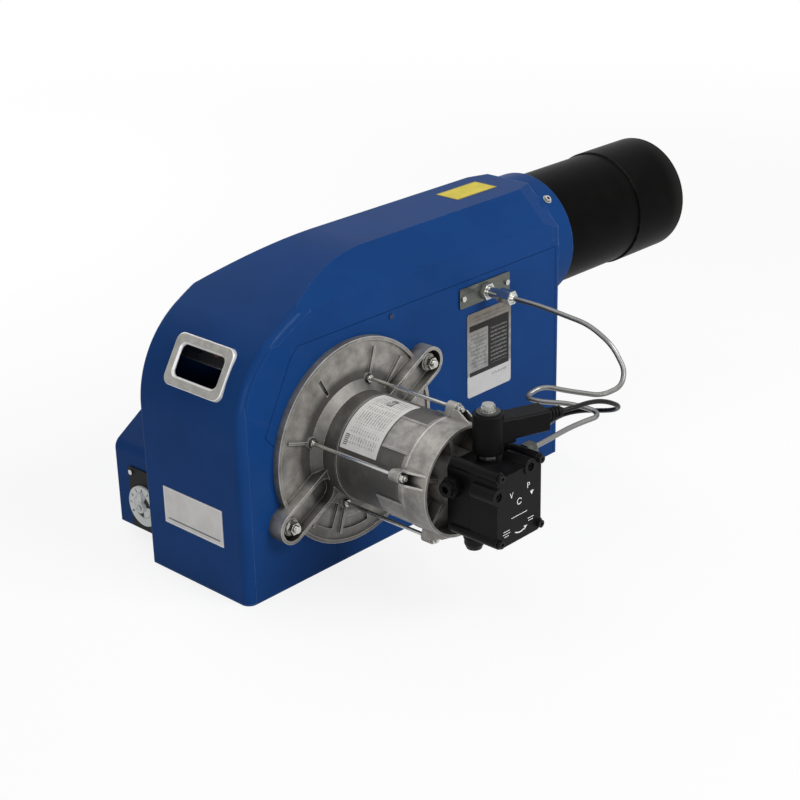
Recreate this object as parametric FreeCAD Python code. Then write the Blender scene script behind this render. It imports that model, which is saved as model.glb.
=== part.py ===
"""Single-stage diesel burner: folded sheet housing, side-mounted motor with an oil pump, and a blast tube.

Frame: millimetres, +X is the firing direction, +Z is up, and the motor and pump are on the -Y side.
The origin lies on the base, under the motor axis, in the upright plane of the blast tube's axis.
"""
import FreeCAD, Part
import math
import os

os.makedirs("parts", exist_ok=True)

# Fits and clearances
SEAT = 0.3
RUNNING = 0.04
SLIDING = 0.08

# Housing
sheet = 1.5
housing_width = 164.0
housing_height = 358.0
back_reach = 170.0
front_reach = 376.0
curve_rise = 158.0
back_radius = 125.0
back_sweep = 59.0
edge_radius = 11.0
far_extra = 4.0
far_edge_radius = 4.0
chamfer_width = 41.0
chamfer_drop = 38.0
nose_length = 28.0
nose_drop = 6.5

# Side cover, its seam and the lip that it rests on
cover_seam = 0.5
cover_below_top = 72.0
cover_knee_drop = 12.0
cover_shoulder_drop = 5.0
cover_back = 132.0
cover_knee = 90.0
cover_front_margin = 6.0
lip_width = 9.0
seam_start_angle = 169.0
seam_end_angle = 255.0
cover_screw_from_flange = 17.7
cover_screw_below_top = 7.0
cover_screw_head = 3.6
cover_screw_height = 1.6
stud_room = 0.5
entry_room = 2.0

# Blast tube and collar
collar_length = 30.0
tube_radius = 74.7
tube_wall = 2.0
tube_inside = 40.0
sleeve_start = 182.0
sleeve_end = 281.0
sleeve_overlap = 25.0
sleeve_wall = 2.0
sleeve_lip = 1.0
collar_screw_head = 4.2
collar_screw_height = 3.6
collar_screw_washer = 6.0
collar_screw_angle = 49.0
slip_fit = 0.05

# Combustion head
head_from_mouth = 62.0
disc_radius = 52.0
disc_hole = 13.0
disc_sheet = 1.5
swirl_slots = 12
line_radius = 5.0
holder_radius = 9.0
nozzle_radius = 7.5
nozzle_length = 16.0
nozzle_setback = 14.0
holder_length = 46.0
disc_depth = 6.0
disc_rim = 8.0
slot_width = 3.2
leg_spacing = 120.0
leg_half = 3.0
leg_sheet = 2.0
ring_length = 8.0
ring_setback = 34.0
electrode_radius = 1.25
electrode_spacing = 18.0
electrode_above = 4.0
ceramic_radius = 4.0
ceramic_length = 48.0
ceramic_setback = 22.0
spark_gap = 3.6
clamp_setback = 54.0
clamp_half = 16.0
sensor_radius = 7.0
sensor_length = 32.0
sensor_from_front = 20.0
clip_length = 8.0
clip_offset = 6.0

# Fan, its spiral and the plate that carries the inlet cone
motor_height = 149.0
fan_radius = 80.0
blade_depth = 16.0
blade_count = 30
blade_sheet = 1.2
fan_width = 66.0
fan_gap = 6.0
fan_back = 66.0
tongue_gap = 5.0
spiral_growth = 28.0
tongue_angle = 20.0
eye_radius = 57.0
duct_floor = 192.0
fan_hub_radius = 16.0
fan_hub_length = 26.0
fan_plate = 2.0
blade_lean = 14.0
plate_margin = 4.0
plate_foot_half = 60.0
plate_foot_flange = 14.0

# Motor flange
flange_hole = 100.0
flange_radius = 123.0
flange_thick = 6.0
flange_rib_height = 3.5
rib_thick = 3.0
rib_reach = 111.0
pocket_depth = 3.0
front_lug = 1.5
rear_lug = 13.0
lip_thick = 4.5
lip_height = 2.5
arm_angle = 29.0
arm_reach = 131.0
arm_half_width = 19.5
arm_wall = 4.0
arm_height = 20.0
arm_floor = 8.0
pad_radius = 10.5
pad_height = 7.0
arm_root = 0.45
channel_root = 0.58
neck_reach = 11.0
neck_length = 9.0
flange_floor = 9.0
bearing_inset = 18.0
extra_rib_turn = 18.0
pockets = ((220.0, 246.0, 76.0, 106.0), (256.0, 278.0, 92.0, 107.0), (302.0, 330.0, 80.0, 106.0),
           (119.5, 122.5, 80.0, 104.0))
stud_radius = 4.0
stud_tail = 12.0
stud_head_flats = 12.0
stud_nut_flats = 13.0
stud_nut_height = 6.4
stud_washer = 8.3
stud_washer_sheet = 1.6

# Motor
motor_radius = 62.0
motor_wall = 5.0
hub_length = 31.0
stator_length = 94.0
shield_length = 40.0
shield_radius = 64.0
shield_rim = 3.5
shield_step = 3.0
shield_web = 6.0
shield_floor = 8.0
shield_rib_half = 2.0
shield_ribs = 6
pump_socket_wall = 6.0
tongue_reach = 34.0
tongue_sheet = 0.9
tongue_half_angle = 18.0
tongue_centre = 124.0
tongue_ridge = 0.9
tongue_ridge_half = 1.3
core_radius = 33.0
core_length = 70.0
air_gap = 0.5
shaft_radius = 7.5
bearing_radius = 17.5
bearing_width = 11.0
bearing_groove = 1.2
bearing_lip = 3.0
tie_circle = 74.0
tie_angle = 73.0
tie_radius = 2.3
tie_tail = 7.0
tie_washer = 5.0
tie_washer_sheet = 1.0
tie_nut_flats = 8.0
tie_nut_height = 4.0
lug_web_offset = 7.4
lug_web_sheet = 2.2
lug_web_front = 7.0
lug_radius = 6.5
winding_length = 10.0
winding_gap = 2.0
shaft_room = 1.5
coupling_radius = 12.0
shaft_reach = 18.0
ring_width = 2.5
ring_height = 0.8
label_length = 55.0
label_sheet = 0.3
label_lift = 0.05
label_start_angle = 75.0
label_end_angle = 159.0

# Oil pump
nose_radius = 27.0
pump_gap = 7.0
pump_drop = 3.5
pump_half_width = 36.0
pump_half_height = 41.0
pump_body_depth = 33.0
pump_cover_depth = 37.0
pump_corner = 7.0
pump_screw_inset = 3.5
pump_screw_low = 7.5
pump_screw_high = 2.0
pump_screw_radius = 6.3
seat_radius = 12.0
seat_rise = 2.0
port_boss_radius = 9.5
pump_shaft_radius = 4.0
nose_depth = 10.0
pump_bolt = 2.5
pump_bolt_depth = 12.0
pump_bolt_head = 4.4
pump_bolt_height = 4.5
pump_bolt_socket = 4.0
port_bore = 5.0
port_depth = 8.0
inlet_flats = 21.0
inlet_hex = 11.0
inlet_length = 17.0
inlet_neck = 8.5
inlet_shank = 8.0
inlet_bore = 4.3
shank_depth = 6.0
outlet_shank = 4.8
outlet_depth = 8.0
outlet_base = 6.0
outlet_nut = 14.0
outlet_nut_start = 7.0
outlet_room = 12.0
pipe_nut_flats = 16.0
pipe_nut_cone = 4.0
drain_boss = 7.0
drain_radius = 11.0
drain_shank = 6.0
drain_height = 7.0
drain_taper = 6.0
drain_socket = 8.0
clamp_bolt = 2.0
clamp_bolt_flats = 7.0
clamp_bolt_height = 5.5

# Solenoid valve
coil_x = 1.0
coil_offset = 26.0
coil_radius = 17.0
coil_base = 8.0
coil_height = 45.0
stem_radius = 6.5
stem_seat = 4.0
stem_flats = 17.0
stem_tail = 10.0
plunger_rest = 6.0
plunger_radius = 3.5
plunger_length = 20.0
plunger_travel = 1.5
connector_turn = 20.0
connector_start = 26.0
connector_reach = 68.0
connector_width = 28.0
connector_height = 24.0
connector_rise = 13.5
connector_edge = 3.0
coil_edge = 1.5
coil_washer = 13.0
coil_washer_sheet = 2.0
coil_nut_flats = 14.0
coil_nut_height = 6.0
boot_length = 24.0
boot_radius = 6.5
boot_rise = 14.0
boot_grooves = 4
boot_groove_depth = 1.3
boot_taper = 4.0

# Fuel pipe and cable
pipe_radius = 3.0
cable_radius = 2.75
gland_x = 280.0
gland_height = 75.0
line_x = 232.0
line_drop = 10.0
line_entry = 3.0
bracket_sheet = 2.0
bracket_half = 46.0
bracket_rise = 12.5
bracket_corner = 3.0
bracket_screw = 3.5
bracket_screw_height = 2.4
bracket_screw_inset = 6.0
fitting_length = 24.0
fitting_flats = 19.0
fitting_base = 7.0
fitting_neck = 6.5
line_nut_length = 19.0
pipe_entry = 10.0
gland_radius = 10.0
gland_flange = 3.0
gland_neck = 7.0
gland_length = 10.0
gland_floor = 4.0

# Air intake box on the other side
box_back = 140.0
box_front = 110.0
box_depth = 95.0
box_bottom = 12.0
box_fold = 116.0
box_fold_radius = 15.0
box_slope = 33.5
box_top = 176.0
port_length = 150.0
port_height = 48.0
port_x = -15.0
port_z = 116.0
port_corner = 6.0
mouth_margin = 14.0
damper_out = 43.5
damper_rise = 36.0
flap_half = 28.0
throat_gap = 2.0
throat_rise = 68.0
dial_radius = 25.5
dial_thick = 3.0
dial_gap = 0.3
dial_plate_sheet = 2.0
dial_plate_half = 26.0
dial_plate_low = 2.0
dial_plate_high = 81.0
dial_screw = 3.2
dial_screw_side = 21.0
dial_screw_height = 74.0
knob_radius = 7.0
knob_height = 5.0
pointer_height = 4.0
pointer_half = 3.0
pointer_reach = 18.0
spindle_radius = 4.0
spindle_tail = 7.0
spindle_short = 8.0
spindle_room = 3.0
flap_half_sheet = 1.0
flap_margin = 2.0
box_flange = 10.0

# Sight window in the curved back
window_width = 72.0
window_height = 39.0
window_border = 11.0
window_corner = 6.5
window_offset = -3.5
window_angle = 31.2
bezel_proud = 3.0
bezel_corner = 11.0
bezel_round = 2.0
bezel_bevel = 2.2
bezel_inside = 1.0

# Flame control on its shelf, behind the window
shelf_below_top = 106.0
shelf_length = 73.0
tab_drop = 12.0
base_height = 8.0
control_corner = 4.0
button_height = 20.0
button_depth = 9.0
control_from_back = 50.0
control_length = 66.0
control_width = 70.0
control_height = 30.0
button_radius = 6.0
button_proud = 8.0
button_travel = 3.0

# Plates, labels and the ignition transformer
data_plate_length = 82.0
data_plate_height = 109.0
data_plate_sheet = 0.8
data_plate_gap = 11.5
data_plate_offset = 9.0
data_plate_corner = 4.0
back_plate_length = 100.0
back_plate_height = 45.5
back_plate_low = 64.0
back_plate_shift = 4.0
back_plate_sheet = 1.0
top_label_length = 74.0
top_label_width = 36.0
top_label_sheet = 0.4
top_label_from_front = 74.5
top_label_shift = 6.0
transformer_length = 110.0
transformer_width = 75.0
transformer_height = 80.5
transformer_from_front = 91.0
transformer_corner = 5.0
post_spacing = 31.0
post_radius = 9.0
post_height = 18.0

# Places that follow from the sizes above
side = housing_width / 2
far_side = side + far_extra
tube_height = housing_height - side
back_straight = housing_height - curve_rise
cover_top = housing_height - cover_below_top
cover_knee_height = cover_top - cover_knee_drop
cover_shoulder = back_straight - cover_shoulder_drop
shelf_height = housing_height - shelf_below_top
cover_face = -side
hub_face = cover_face - flange_thick
stator_face = hub_face - hub_length
shield_face = stator_face - stator_length
shield_end = shield_face - shield_length
pump_back = shield_end - pump_gap
pump_split = pump_back - pump_body_depth
pump_front = pump_split - pump_cover_depth
pump_height = motor_height - pump_drop
front = front_reach
duct_end = front_reach - tube_inside - SEAT
back = -back_reach
collar_end = front + collar_length
mouth = front + sleeve_end
head_x = mouth - head_from_mouth
line_height = tube_height - line_drop
control_x = back + control_from_back
shelf_top = shelf_height + sheet
damper_y = far_side + damper_out
damper_z = box_bottom + damper_rise
box_outer = far_side + box_depth


def vec(x, y, z):
    return FreeCAD.Vector(x, y, z)


def block(x0, x1, y0, y1, z0, z1):
    return Part.makeBox(x1 - x0, y1 - y0, z1 - z0, vec(x0, y0, z0))


def rod(radius, start, end):
    a = vec(*start)
    d = vec(*end).sub(a)
    return Part.makeCylinder(radius, d.Length, a, d)


def tube(outer, inner, start, end):
    return rod(outer, start, end).cut(rod(inner, start, end))


def hexagon(flats, start, end, turn=0.0):
    a = vec(*start)
    d = vec(*end).sub(a)
    u = d.cross(vec(0, 0, 1) if abs(d.z) < 0.9 * d.Length else vec(1, 0, 0)).normalize()
    v = vec(d.x, d.y, d.z).normalize().cross(u)
    points = []
    for k in range(7):
        t = math.radians(60 * k + turn)
        r = flats / math.sqrt(3)
        points.append(a + u * (r * math.cos(t)) + v * (r * math.sin(t)))
    return Part.Face(Part.makePolygon(points)).extrude(d)


def prism(points, direction):
    return Part.Face(Part.makePolygon(points + points[:1])).extrude(direction)


def prism_xz(points, y0, y1):
    return prism([vec(x, y0, z) for x, z in points], vec(0, y1 - y0, 0))


def round_along(shape, direction, radius, keep=None):
    """Fillet the straight edges that run along a direction."""
    chosen = []
    for edge in shape.Edges:
        if not isinstance(edge.Curve, Part.Line):
            continue
        parallel = abs(edge.tangentAt(edge.FirstParameter).dot(direction)) > 0.999
        if parallel and (keep is None or keep(edge.CenterOfMass)):
            chosen.append(edge)
    return shape.makeFillet(radius, chosen)


def fused(first, *others):
    """One solid from pieces that touch or overlap, without the seams between them."""
    return first.multiFuse(list(others)).removeSplitter() if others else first


def turned(points, centre, axis):
    """A solid of revolution from (radius, height) points about an axis through a centre."""
    along = vec(*axis).normalize()
    across = along.cross(vec(0, 0, 1) if abs(along.z) < 0.9 else vec(1, 0, 0)).normalize()
    base = vec(*centre)
    corners = [base + across * r + along * h for r, h in points]
    face = Part.Face(Part.makePolygon(corners + corners[:1]))
    return face.revolve(base, along, 360)


def at_motor(radius, angle, y):
    t = math.radians(angle)
    return (radius * math.cos(t), y, motor_height + radius * math.sin(t))


def disc(radius, y0, y1):
    return rod(radius, (0, y0, motor_height), (0, y1, motor_height))


def slot_bar(radius, start, end, y0, y1):
    """A bar with round ends, standing on the XZ plane."""
    a = vec(start[0], y0, start[1])
    b = vec(end[0], y0, end[1])
    along = b.sub(a).normalize()
    aside = vec(-along.z, 0, along.x) * radius
    bar = prism([a + aside, b + aside, b - aside, a - aside], vec(0, y1 - y0, 0))
    ends = [rod(radius, (p.x, y0, p.z), (p.x, y1, p.z)) for p in (a, b)]
    return fused(bar, *ends)


def bends(points, bend=None):
    """Runs and tangent arcs through a route. Without bend radii, each arc is as large as its runs allow."""
    route = [vec(*p) for p in points]
    edges = []
    radii = []
    last = route[0]
    for k, (before, corner, after) in enumerate(zip(route, route[1:], route[2:])):
        incoming = corner.sub(before)
        outgoing = after.sub(corner)
        half = incoming.getAngle(outgoing) / 2
        shorter = min(incoming.Length, outgoing.Length)
        reach = 0.45 * shorter
        if bend is not None:
            reach = min(reach, bend[k] * math.tan(half))
        radius = reach / math.tan(half)
        radii.append(radius)
        enter = corner - vec(*incoming).normalize() * reach
        leave = corner + vec(*outgoing).normalize() * reach
        inward = (enter + leave) * 0.5 - corner
        to_centre = math.hypot(radius, reach)
        middle = corner + inward.normalize() * (to_centre - radius)
        edges.append(Part.LineSegment(last, enter).toShape())
        edges.append(Part.Arc(enter, middle, leave).toShape())
        last = leave
    edges.append(Part.LineSegment(last, route[-1]).toShape())
    return Part.Wire(edges), radii


def swept(points, radius, bend=None):
    path, radii = bends(points, bend)
    start = vec(*points[0])
    circle = Part.Wire(Part.makeCircle(radius, start, vec(*points[1]).sub(start)))
    solid = path.makePipeShell([circle], True, False)
    expected = math.pi * radius ** 2 * path.Length
    print("route", round(path.Length, 1), "mm, radii", [round(r, 1) for r in radii],
          "volume ratio", round(solid.Volume / expected, 4))
    return solid


def write(name, shape):
    solids = shape.Solids
    if not solids or not all(s.isValid() and s.Volume > 0 for s in solids):
        raise ValueError(name + " is not a valid solid")
    shape.exportStep("parts/" + name + ".step")
    print(name, len(solids), round(sum(s.Volume for s in solids)))


def group(solids):
    return Part.makeCompound(list(solids))


# Housing

def housing_profile(inset):
    """The housing's side view: straight back, two tangent arcs and a flat top."""
    sweep = math.radians(back_sweep)
    lift = math.sin(sweep)
    run = math.cos(sweep)
    top_radius = (housing_height - back_straight - back_radius * lift) / (1 - lift)
    c1 = vec(back + back_radius, 0, back_straight)
    c2 = c1 + vec(-run, 0, lift) * (back_radius - top_radius)
    r1 = back_radius - inset
    r2 = top_radius - inset

    def on(centre, radius, angle):
        return centre + vec(-math.cos(angle), 0, math.sin(angle)) * radius

    low_back = vec(back + inset, 0, inset)
    low_front = vec(front - inset, 0, inset)
    high_front = vec(front - inset, 0, housing_height - inset)
    start = on(c1, r1, 0)
    meet = on(c1, r1, sweep)
    crest = on(c2, r2, math.pi / 2)
    return [
        Part.LineSegment(low_front, low_back).toShape(),
        Part.LineSegment(low_back, start).toShape(),
        Part.Arc(start, on(c1, r1, sweep / 2), meet).toShape(),
        Part.Arc(meet, on(c2, r2, (sweep + math.pi / 2) / 2), crest).toShape(),
        Part.LineSegment(crest, high_front).toShape(),
        Part.LineSegment(high_front, low_front).toShape(),
    ]


def profile_slab(inset, y0, y1):
    face = Part.Face(Part.Wire(housing_profile(inset)))
    face.translate(vec(0, y0, 0))
    return face.extrude(vec(0, y1 - y0, 0))


def housing_solid(inset):
    """The filled housing, shrunk by an inset: rounded side edges, chamfered shoulders and a drawn-in nose."""
    walls = ((-1, side, edge_radius), (1, far_side, far_edge_radius))
    body = profile_slab(inset, inset - side, far_side - inset)
    for hand, wall, radius in walls:
        rounded = []
        for edge in body.Edges:
            centre = edge.CenterOfMass
            on_wall = abs(centre.y - hand * (wall - inset)) < 0.01
            if on_wall and centre.z > inset + 1 and centre.x < front - inset - 1:
                rounded.append(edge)
        body = body.makeFillet(radius - inset, rounded)
    span = math.hypot(chamfer_width, chamfer_drop)
    reach = 2 * span
    crease = front - nose_length
    fall = nose_drop / nose_length * (front + reach - crease)
    for hand, wall, radius in walls:
        along = vec(0, hand * chamfer_width / span, -chamfer_drop / span)
        outward = vec(0, hand * chamfer_drop / span, chamfer_width / span)
        fold = vec(0, hand * (wall - chamfer_width), housing_height) - outward * inset
        a = fold - along * reach + vec(back - reach, 0, 0)
        b = fold + along * reach + vec(back - reach, 0, 0)
        shoulder = prism([a, b, b + outward * reach, a + outward * reach], vec(front - back + 2 * reach, 0, 0))
        start = fold - along * reach
        tip = start + vec(crease, 0, 0)
        end = start + vec(front + reach, 0, 0)
        nose = prism([tip, end - outward * fall, end + outward * reach, tip + outward * reach],
                     along * (2 * reach))
        body = body.cut(shoulder).cut(nose)
    return body


def cover_outline(y, offset=0.0):
    """Edge of the removable side cover: its hidden part runs along an arc behind the motor flange."""
    arc_radius = flange_hole + 0.6 * (flange_radius - flange_hole)
    start = vec(*at_motor(arc_radius, seam_start_angle, y))
    middle = vec(*at_motor(arc_radius, (seam_start_angle + seam_end_angle) / 2, y))
    end = vec(*at_motor(arc_radius, seam_end_angle, y))
    right = front - cover_front_margin
    corners = [
        vec(end.x, y, sheet),
        vec(right, y, sheet),
        vec(right, y, cover_top),
        vec(-cover_knee + (cover_top - cover_knee_height), y, cover_top),
        vec(-cover_knee, y, cover_knee_height),
        vec(-cover_back, y, cover_shoulder),
        start,
    ]
    edges = [Part.Arc(start, middle, end).toShape()]
    points = [end] + corners
    for a, b in zip(points, points[1:]):
        edges.append(Part.LineSegment(a, b).toShape())
    face = Part.Face(Part.Wire(edges))
    return face.makeOffset2D(offset) if offset else face


def front_hole():
    return rod(tube_radius + SEAT, (front - 2 * nose_length, 0, tube_height), (collar_end + 1, 0, tube_height))


def flat_side_zone(y0, y1, margin):
    """The flat part of one side, inside its rounded edges, and down to the base and out to the front."""
    face = Part.Face(Part.Wire(housing_profile(margin)))
    face.translate(vec(0, y0, 0))
    zone = face.extrude(vec(0, y1 - y0, 0))
    return zone.fuse(block(back + margin, front - sheet, y0, y1, sheet, cover_top + lip_width))


def make_housing():
    shell = housing_solid(0).cut(housing_solid(sheet))
    front_zone = block(front - sheet, front + 1, -side, far_side, -1, housing_height + 1)
    base_zone = block(back - 1, front - sheet, -side, far_side, -1, sheet)
    side_zone = flat_side_zone(-side - 1, -side + sheet, edge_radius + 1).cut(front_zone)
    far_zone = flat_side_zone(far_side - sheet, far_side + 1, far_edge_radius + 1).cut(front_zone)

    front_panel = shell.common(front_zone)
    collar = rod(side, (front, 0, tube_height), (collar_end, 0, tube_height))
    front_panel = front_panel.fuse(collar).removeSplitter().cut(front_hole())
    base = shell.common(base_zone)
    rest = shell.cut(front_zone).cut(base_zone)
    motor_side = rest.common(side_zone)
    inlet_side = rest.common(far_zone)
    wrap = rest.cut(side_zone).cut(far_zone)

    opening = cover_outline(-side - 1, cover_seam).extrude(vec(0, sheet + 1, 0))
    motor_side = motor_side.cut(opening)
    inner = -side + sheet
    lip = cover_outline(inner, cover_seam + 2).cut(cover_outline(inner, -lip_width))
    lip = lip.extrude(vec(0, sheet, 0)).cut(base_zone)
    motor_side = motor_side.fuse(lip)
    inlet_side = inlet_side.cut(box_port(far_side - sheet - 1, far_side + 1))
    wrap = wrap.cut(window_prism(window_width, window_height, -back_radius / 2, back_radius / 2,
                                 window_corner - bezel_inside))
    return wrap, motor_side, inlet_side, base, front_panel


def make_side_cover():
    cover = cover_outline(-side).extrude(vec(0, sheet, 0))
    outside = -side - 1
    inside = -side + 2 * sheet
    cover = cover.cut(disc(flange_hole, outside, inside))
    x, _, z = at_motor(arm_reach, arm_angle, 0)
    cover = cover.cut(rod(stud_radius + stud_room, (x, outside, z), (x, inside, z)))
    entry = rod(line_radius + entry_room, (line_x, outside, line_height), (line_x, inside, line_height))
    return cover.cut(entry)


def cover_screw():
    z = cover_top - cover_screw_below_top
    x = (flange_radius + cover_screw_from_flange) * math.sqrt(2) - (z - motor_height)
    head = rod(cover_screw_head, (x, -side, z), (x, -side - cover_screw_height, z))
    groove = block(x - 0.5, x + 0.5, -side - 2 * cover_screw_height, -side - cover_screw_height / 2,
                   z - 2 * cover_screw_head, z + 2 * cover_screw_head)
    return head.cut(groove)


# Sight window

def window_frame_axes():
    """Centre, slope direction and outward direction of the window on the curved back."""
    angle = math.radians(window_angle)
    outward = vec(-math.cos(angle), 0, math.sin(angle))
    up = vec(math.sin(angle), 0, math.cos(angle))
    return vec(back + back_radius, window_offset, back_straight) + outward * back_radius, up, outward


def window_prism(width, height, start, end, corner):
    centre, up, outward = window_frame_axes()
    across = vec(0, 1, 0) * (width / 2)
    rise = up * (height / 2)
    base = centre + outward * start
    bar = prism([base - across - rise, base + across - rise, base + across + rise, base - across + rise],
                outward * (end - start))
    return round_along(bar, outward, corner)


def make_bezel():
    """Frame of the sight window: rounded outside, bevelled inside, and shaped to the curved back."""
    centre, up, outward = window_frame_axes()
    frame = window_prism(window_width + 2 * window_border, window_height + 2 * window_border, -window_border,
                         bezel_proud, bezel_corner)
    rim = [e for e in frame.Edges if (e.CenterOfMass - centre).dot(outward) > bezel_proud - 0.01]
    frame = frame.makeFillet(bezel_round, rim)
    frame = frame.cut(window_prism(window_width - 2 * bezel_inside, window_height - 2 * bezel_inside,
                                   -back_radius / 2, back_radius / 2, window_corner))
    lip = []
    for edge in frame.Edges:
        place = edge.CenterOfMass - centre
        inner = abs(place.y) < window_width / 2 and abs(place.dot(up)) < window_height / 2
        if inner and place.dot(outward) > bezel_proud - 0.01:
            lip.append(edge)
    return frame.makeChamfer(bezel_bevel, lip).cut(housing_solid(0))


# Blast tube and combustion head

def make_tube():
    start = front - tube_inside
    end = front + sleeve_start + sleeve_overlap
    return tube(tube_radius, tube_radius - tube_wall, (start, 0, tube_height), (end, 0, tube_height))


def make_sleeve():
    """Smooth end of the tube, pressed over it, with both rims broken."""
    inner = tube_radius + slip_fit
    outer = inner + sleeve_wall
    start = front + sleeve_start
    lip = sleeve_lip
    points = [
        (inner, start), (outer - lip, start), (outer, start + lip), (outer, mouth - lip), (outer - lip, mouth),
        (inner, mouth),
    ]
    return turned(points, (0, 0, tube_height), (1, 0, 0))


def collar_screw(angle):
    """Socket screw with a washer, pointing at the tube's axis."""
    t = math.radians(angle)
    out = vec(0, -math.cos(t), math.sin(t))
    centre = vec(front + collar_length * 0.36, 0, tube_height)
    foot = centre + out * (tube_radius + SEAT)
    seat = centre + out * side
    top = seat + out * collar_screw_height
    head = rod(collar_screw_head, tuple(seat), tuple(top))
    washer = rod(collar_screw_washer, tuple(seat), tuple(seat + out))
    shank = rod(collar_screw_head / 2, tuple(foot), tuple(seat))
    socket = hexagon(collar_screw_head, tuple(seat + out * (collar_screw_height / 2)), tuple(top + out))
    return fused(head, washer, shank).cut(socket)


def make_collar_screws():
    return [collar_screw(collar_screw_angle + 120 * k) for k in range(3)]


def make_disc():
    """Flame disc: a dished plate with a centre hole and a ring of swirl slots."""
    inner = disc_hole + disc_rim
    outer = disc_radius - disc_rim
    points = [
        (disc_hole, 0), (inner, 0), (outer, disc_depth), (disc_radius, disc_depth),
        (disc_radius, disc_depth + disc_sheet), (outer - 0.5, disc_depth + disc_sheet),
        (inner - 0.5, disc_sheet), (disc_hole, disc_sheet),
    ]
    plate = turned([(r, head_x + h) for r, h in points], (0, 0, tube_height), (1, 0, 0))
    cutters = []
    for k in range(swirl_slots):
        bar = block(head_x - disc_depth, head_x + 2 * disc_depth, inner + slot_width, outer + slot_width / 2,
                    -slot_width / 2, slot_width / 2)
        bar.translate(vec(0, 0, tube_height))
        bar.rotate(vec(0, 0, tube_height), vec(1, 0, 0), 360.0 * k / swirl_slots)
        cutters.append(bar)
    return plate.cut(group(cutters))


def nozzle_line_points():
    """Route of the nozzle line: in from the side, round a bend and along the tube's axis."""
    inside_fitting = cover_face - bracket_sheet - line_entry
    holder_start = head_x - nozzle_setback - holder_length
    return [
        (line_x, inside_fitting, line_height), (line_x, -30, line_height), (line_x + 4, -4, line_height + 1),
        (line_x + 32, 0, tube_height - 2), (line_x + 70, 0, tube_height),
        (holder_start, 0, tube_height + 0.01),
    ]


def make_holder():
    end = head_x - nozzle_setback
    return hexagon(2 * holder_radius, (end - holder_length, 0, tube_height), (end, 0, tube_height))


def make_nozzle():
    """Spray nozzle: hexagon-sized body, a waist and a cone tip."""
    waist = nozzle_radius - 2
    points = [
        (0, 0), (nozzle_radius, 0), (nozzle_radius, nozzle_length - 10), (waist, nozzle_length - 9),
        (waist, nozzle_length - 3), (waist - 3, nozzle_length), (0, nozzle_length),
    ]
    return turned([(r, head_x - nozzle_setback + h) for r, h in points], (0, 0, tube_height), (1, 0, 0))


def make_disc_bracket():
    """Clamp ring on the nozzle holder with three legs that carry the flame disc."""
    start = head_x - ring_setback
    end = start + ring_length
    ring = rod(holder_radius + 6, (start, 0, tube_height), (end, 0, tube_height))
    ring = ring.cut(hexagon(2 * holder_radius, (start - 1, 0, tube_height), (end + 1, 0, tube_height)))
    legs = []
    for k in range(3):
        leg = block(start + 1, head_x, disc_hole + 1, disc_hole + 1 + leg_sheet, -leg_half, leg_half)
        leg.translate(vec(0, 0, tube_height))
        leg.rotate(vec(0, 0, tube_height), vec(1, 0, 0), 90.0 + leg_spacing * k)
        legs.append(leg)
    return fused(ring, *legs)


def electrode_height():
    return tube_height + holder_radius + ceramic_radius + electrode_above


def make_electrodes():
    """Two ceramic electrodes with bent tips in front of the nozzle."""
    ceramics = []
    tips = []
    z = electrode_height()
    end = head_x - ceramic_setback
    start = end - ceramic_length
    for hand in (-1, 1):
        y = hand * electrode_spacing / 2
        ceramics.append(rod(ceramic_radius, (start, y, z), (end, y, z)))
        route = [(start - 10, y, z), (end + 10, y, z), (head_x + 4, hand * spark_gap / 2, tube_height + 6)]
        tips.append(swept(route, electrode_radius, [4.0]))
    ceramics = [ceramic.cut(tip) for ceramic, tip in zip(ceramics, tips)]
    return ceramics, tips


def make_electrode_clamp():
    z = electrode_height()
    start = head_x - clamp_setback
    end = start + clip_length
    low = tube_height + holder_radius * 2 / math.sqrt(3) - 2
    bar = block(start, end, -clamp_half, clamp_half, low, z + ceramic_radius + 2)
    bar = bar.cut(hexagon(2 * holder_radius, (start - 1, 0, tube_height), (end + 1, 0, tube_height)))
    for hand in (-1, 1):
        y = hand * electrode_spacing / 2
        bar = bar.cut(rod(ceramic_radius, (start - 1, y, z), (end + 1, y, z)))
    return bar


def make_flame_sensor():
    """Light sensor beside the nozzle line, and the clip that holds it there."""
    start = front + sensor_from_front
    end = start + sensor_length
    y = line_radius + sensor_radius + electrode_above
    points = [(0, 0), (sensor_radius, 0), (sensor_radius, sensor_length - 2),
              (sensor_radius - 2, sensor_length), (0, sensor_length)]
    body = turned(points, (start, y, tube_height), (1, 0, 0))
    grip = sensor_radius + 2
    clip_start = start + clip_offset
    clip = block(clip_start, clip_start + clip_length, -line_radius - 3, y + grip, -grip, grip)
    clip.translate(vec(0, 0, tube_height))
    clip = clip.cut(rod(line_radius, (start, 0, tube_height), (end, 0, tube_height)))
    clip = clip.cut(rod(sensor_radius, (start, y, tube_height), (end, y, tube_height)))
    return body, clip


# Fan and air path

def spiral_point(radius_extra, angle, y):
    """Point on the fan spiral; the angle runs from the tongue, clockwise as the motor side sees it."""
    radius = fan_radius + tongue_gap + spiral_growth * angle / (270.0 + tongue_angle) + radius_extra
    return vec(*at_motor(radius, tongue_angle - angle, y))


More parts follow.
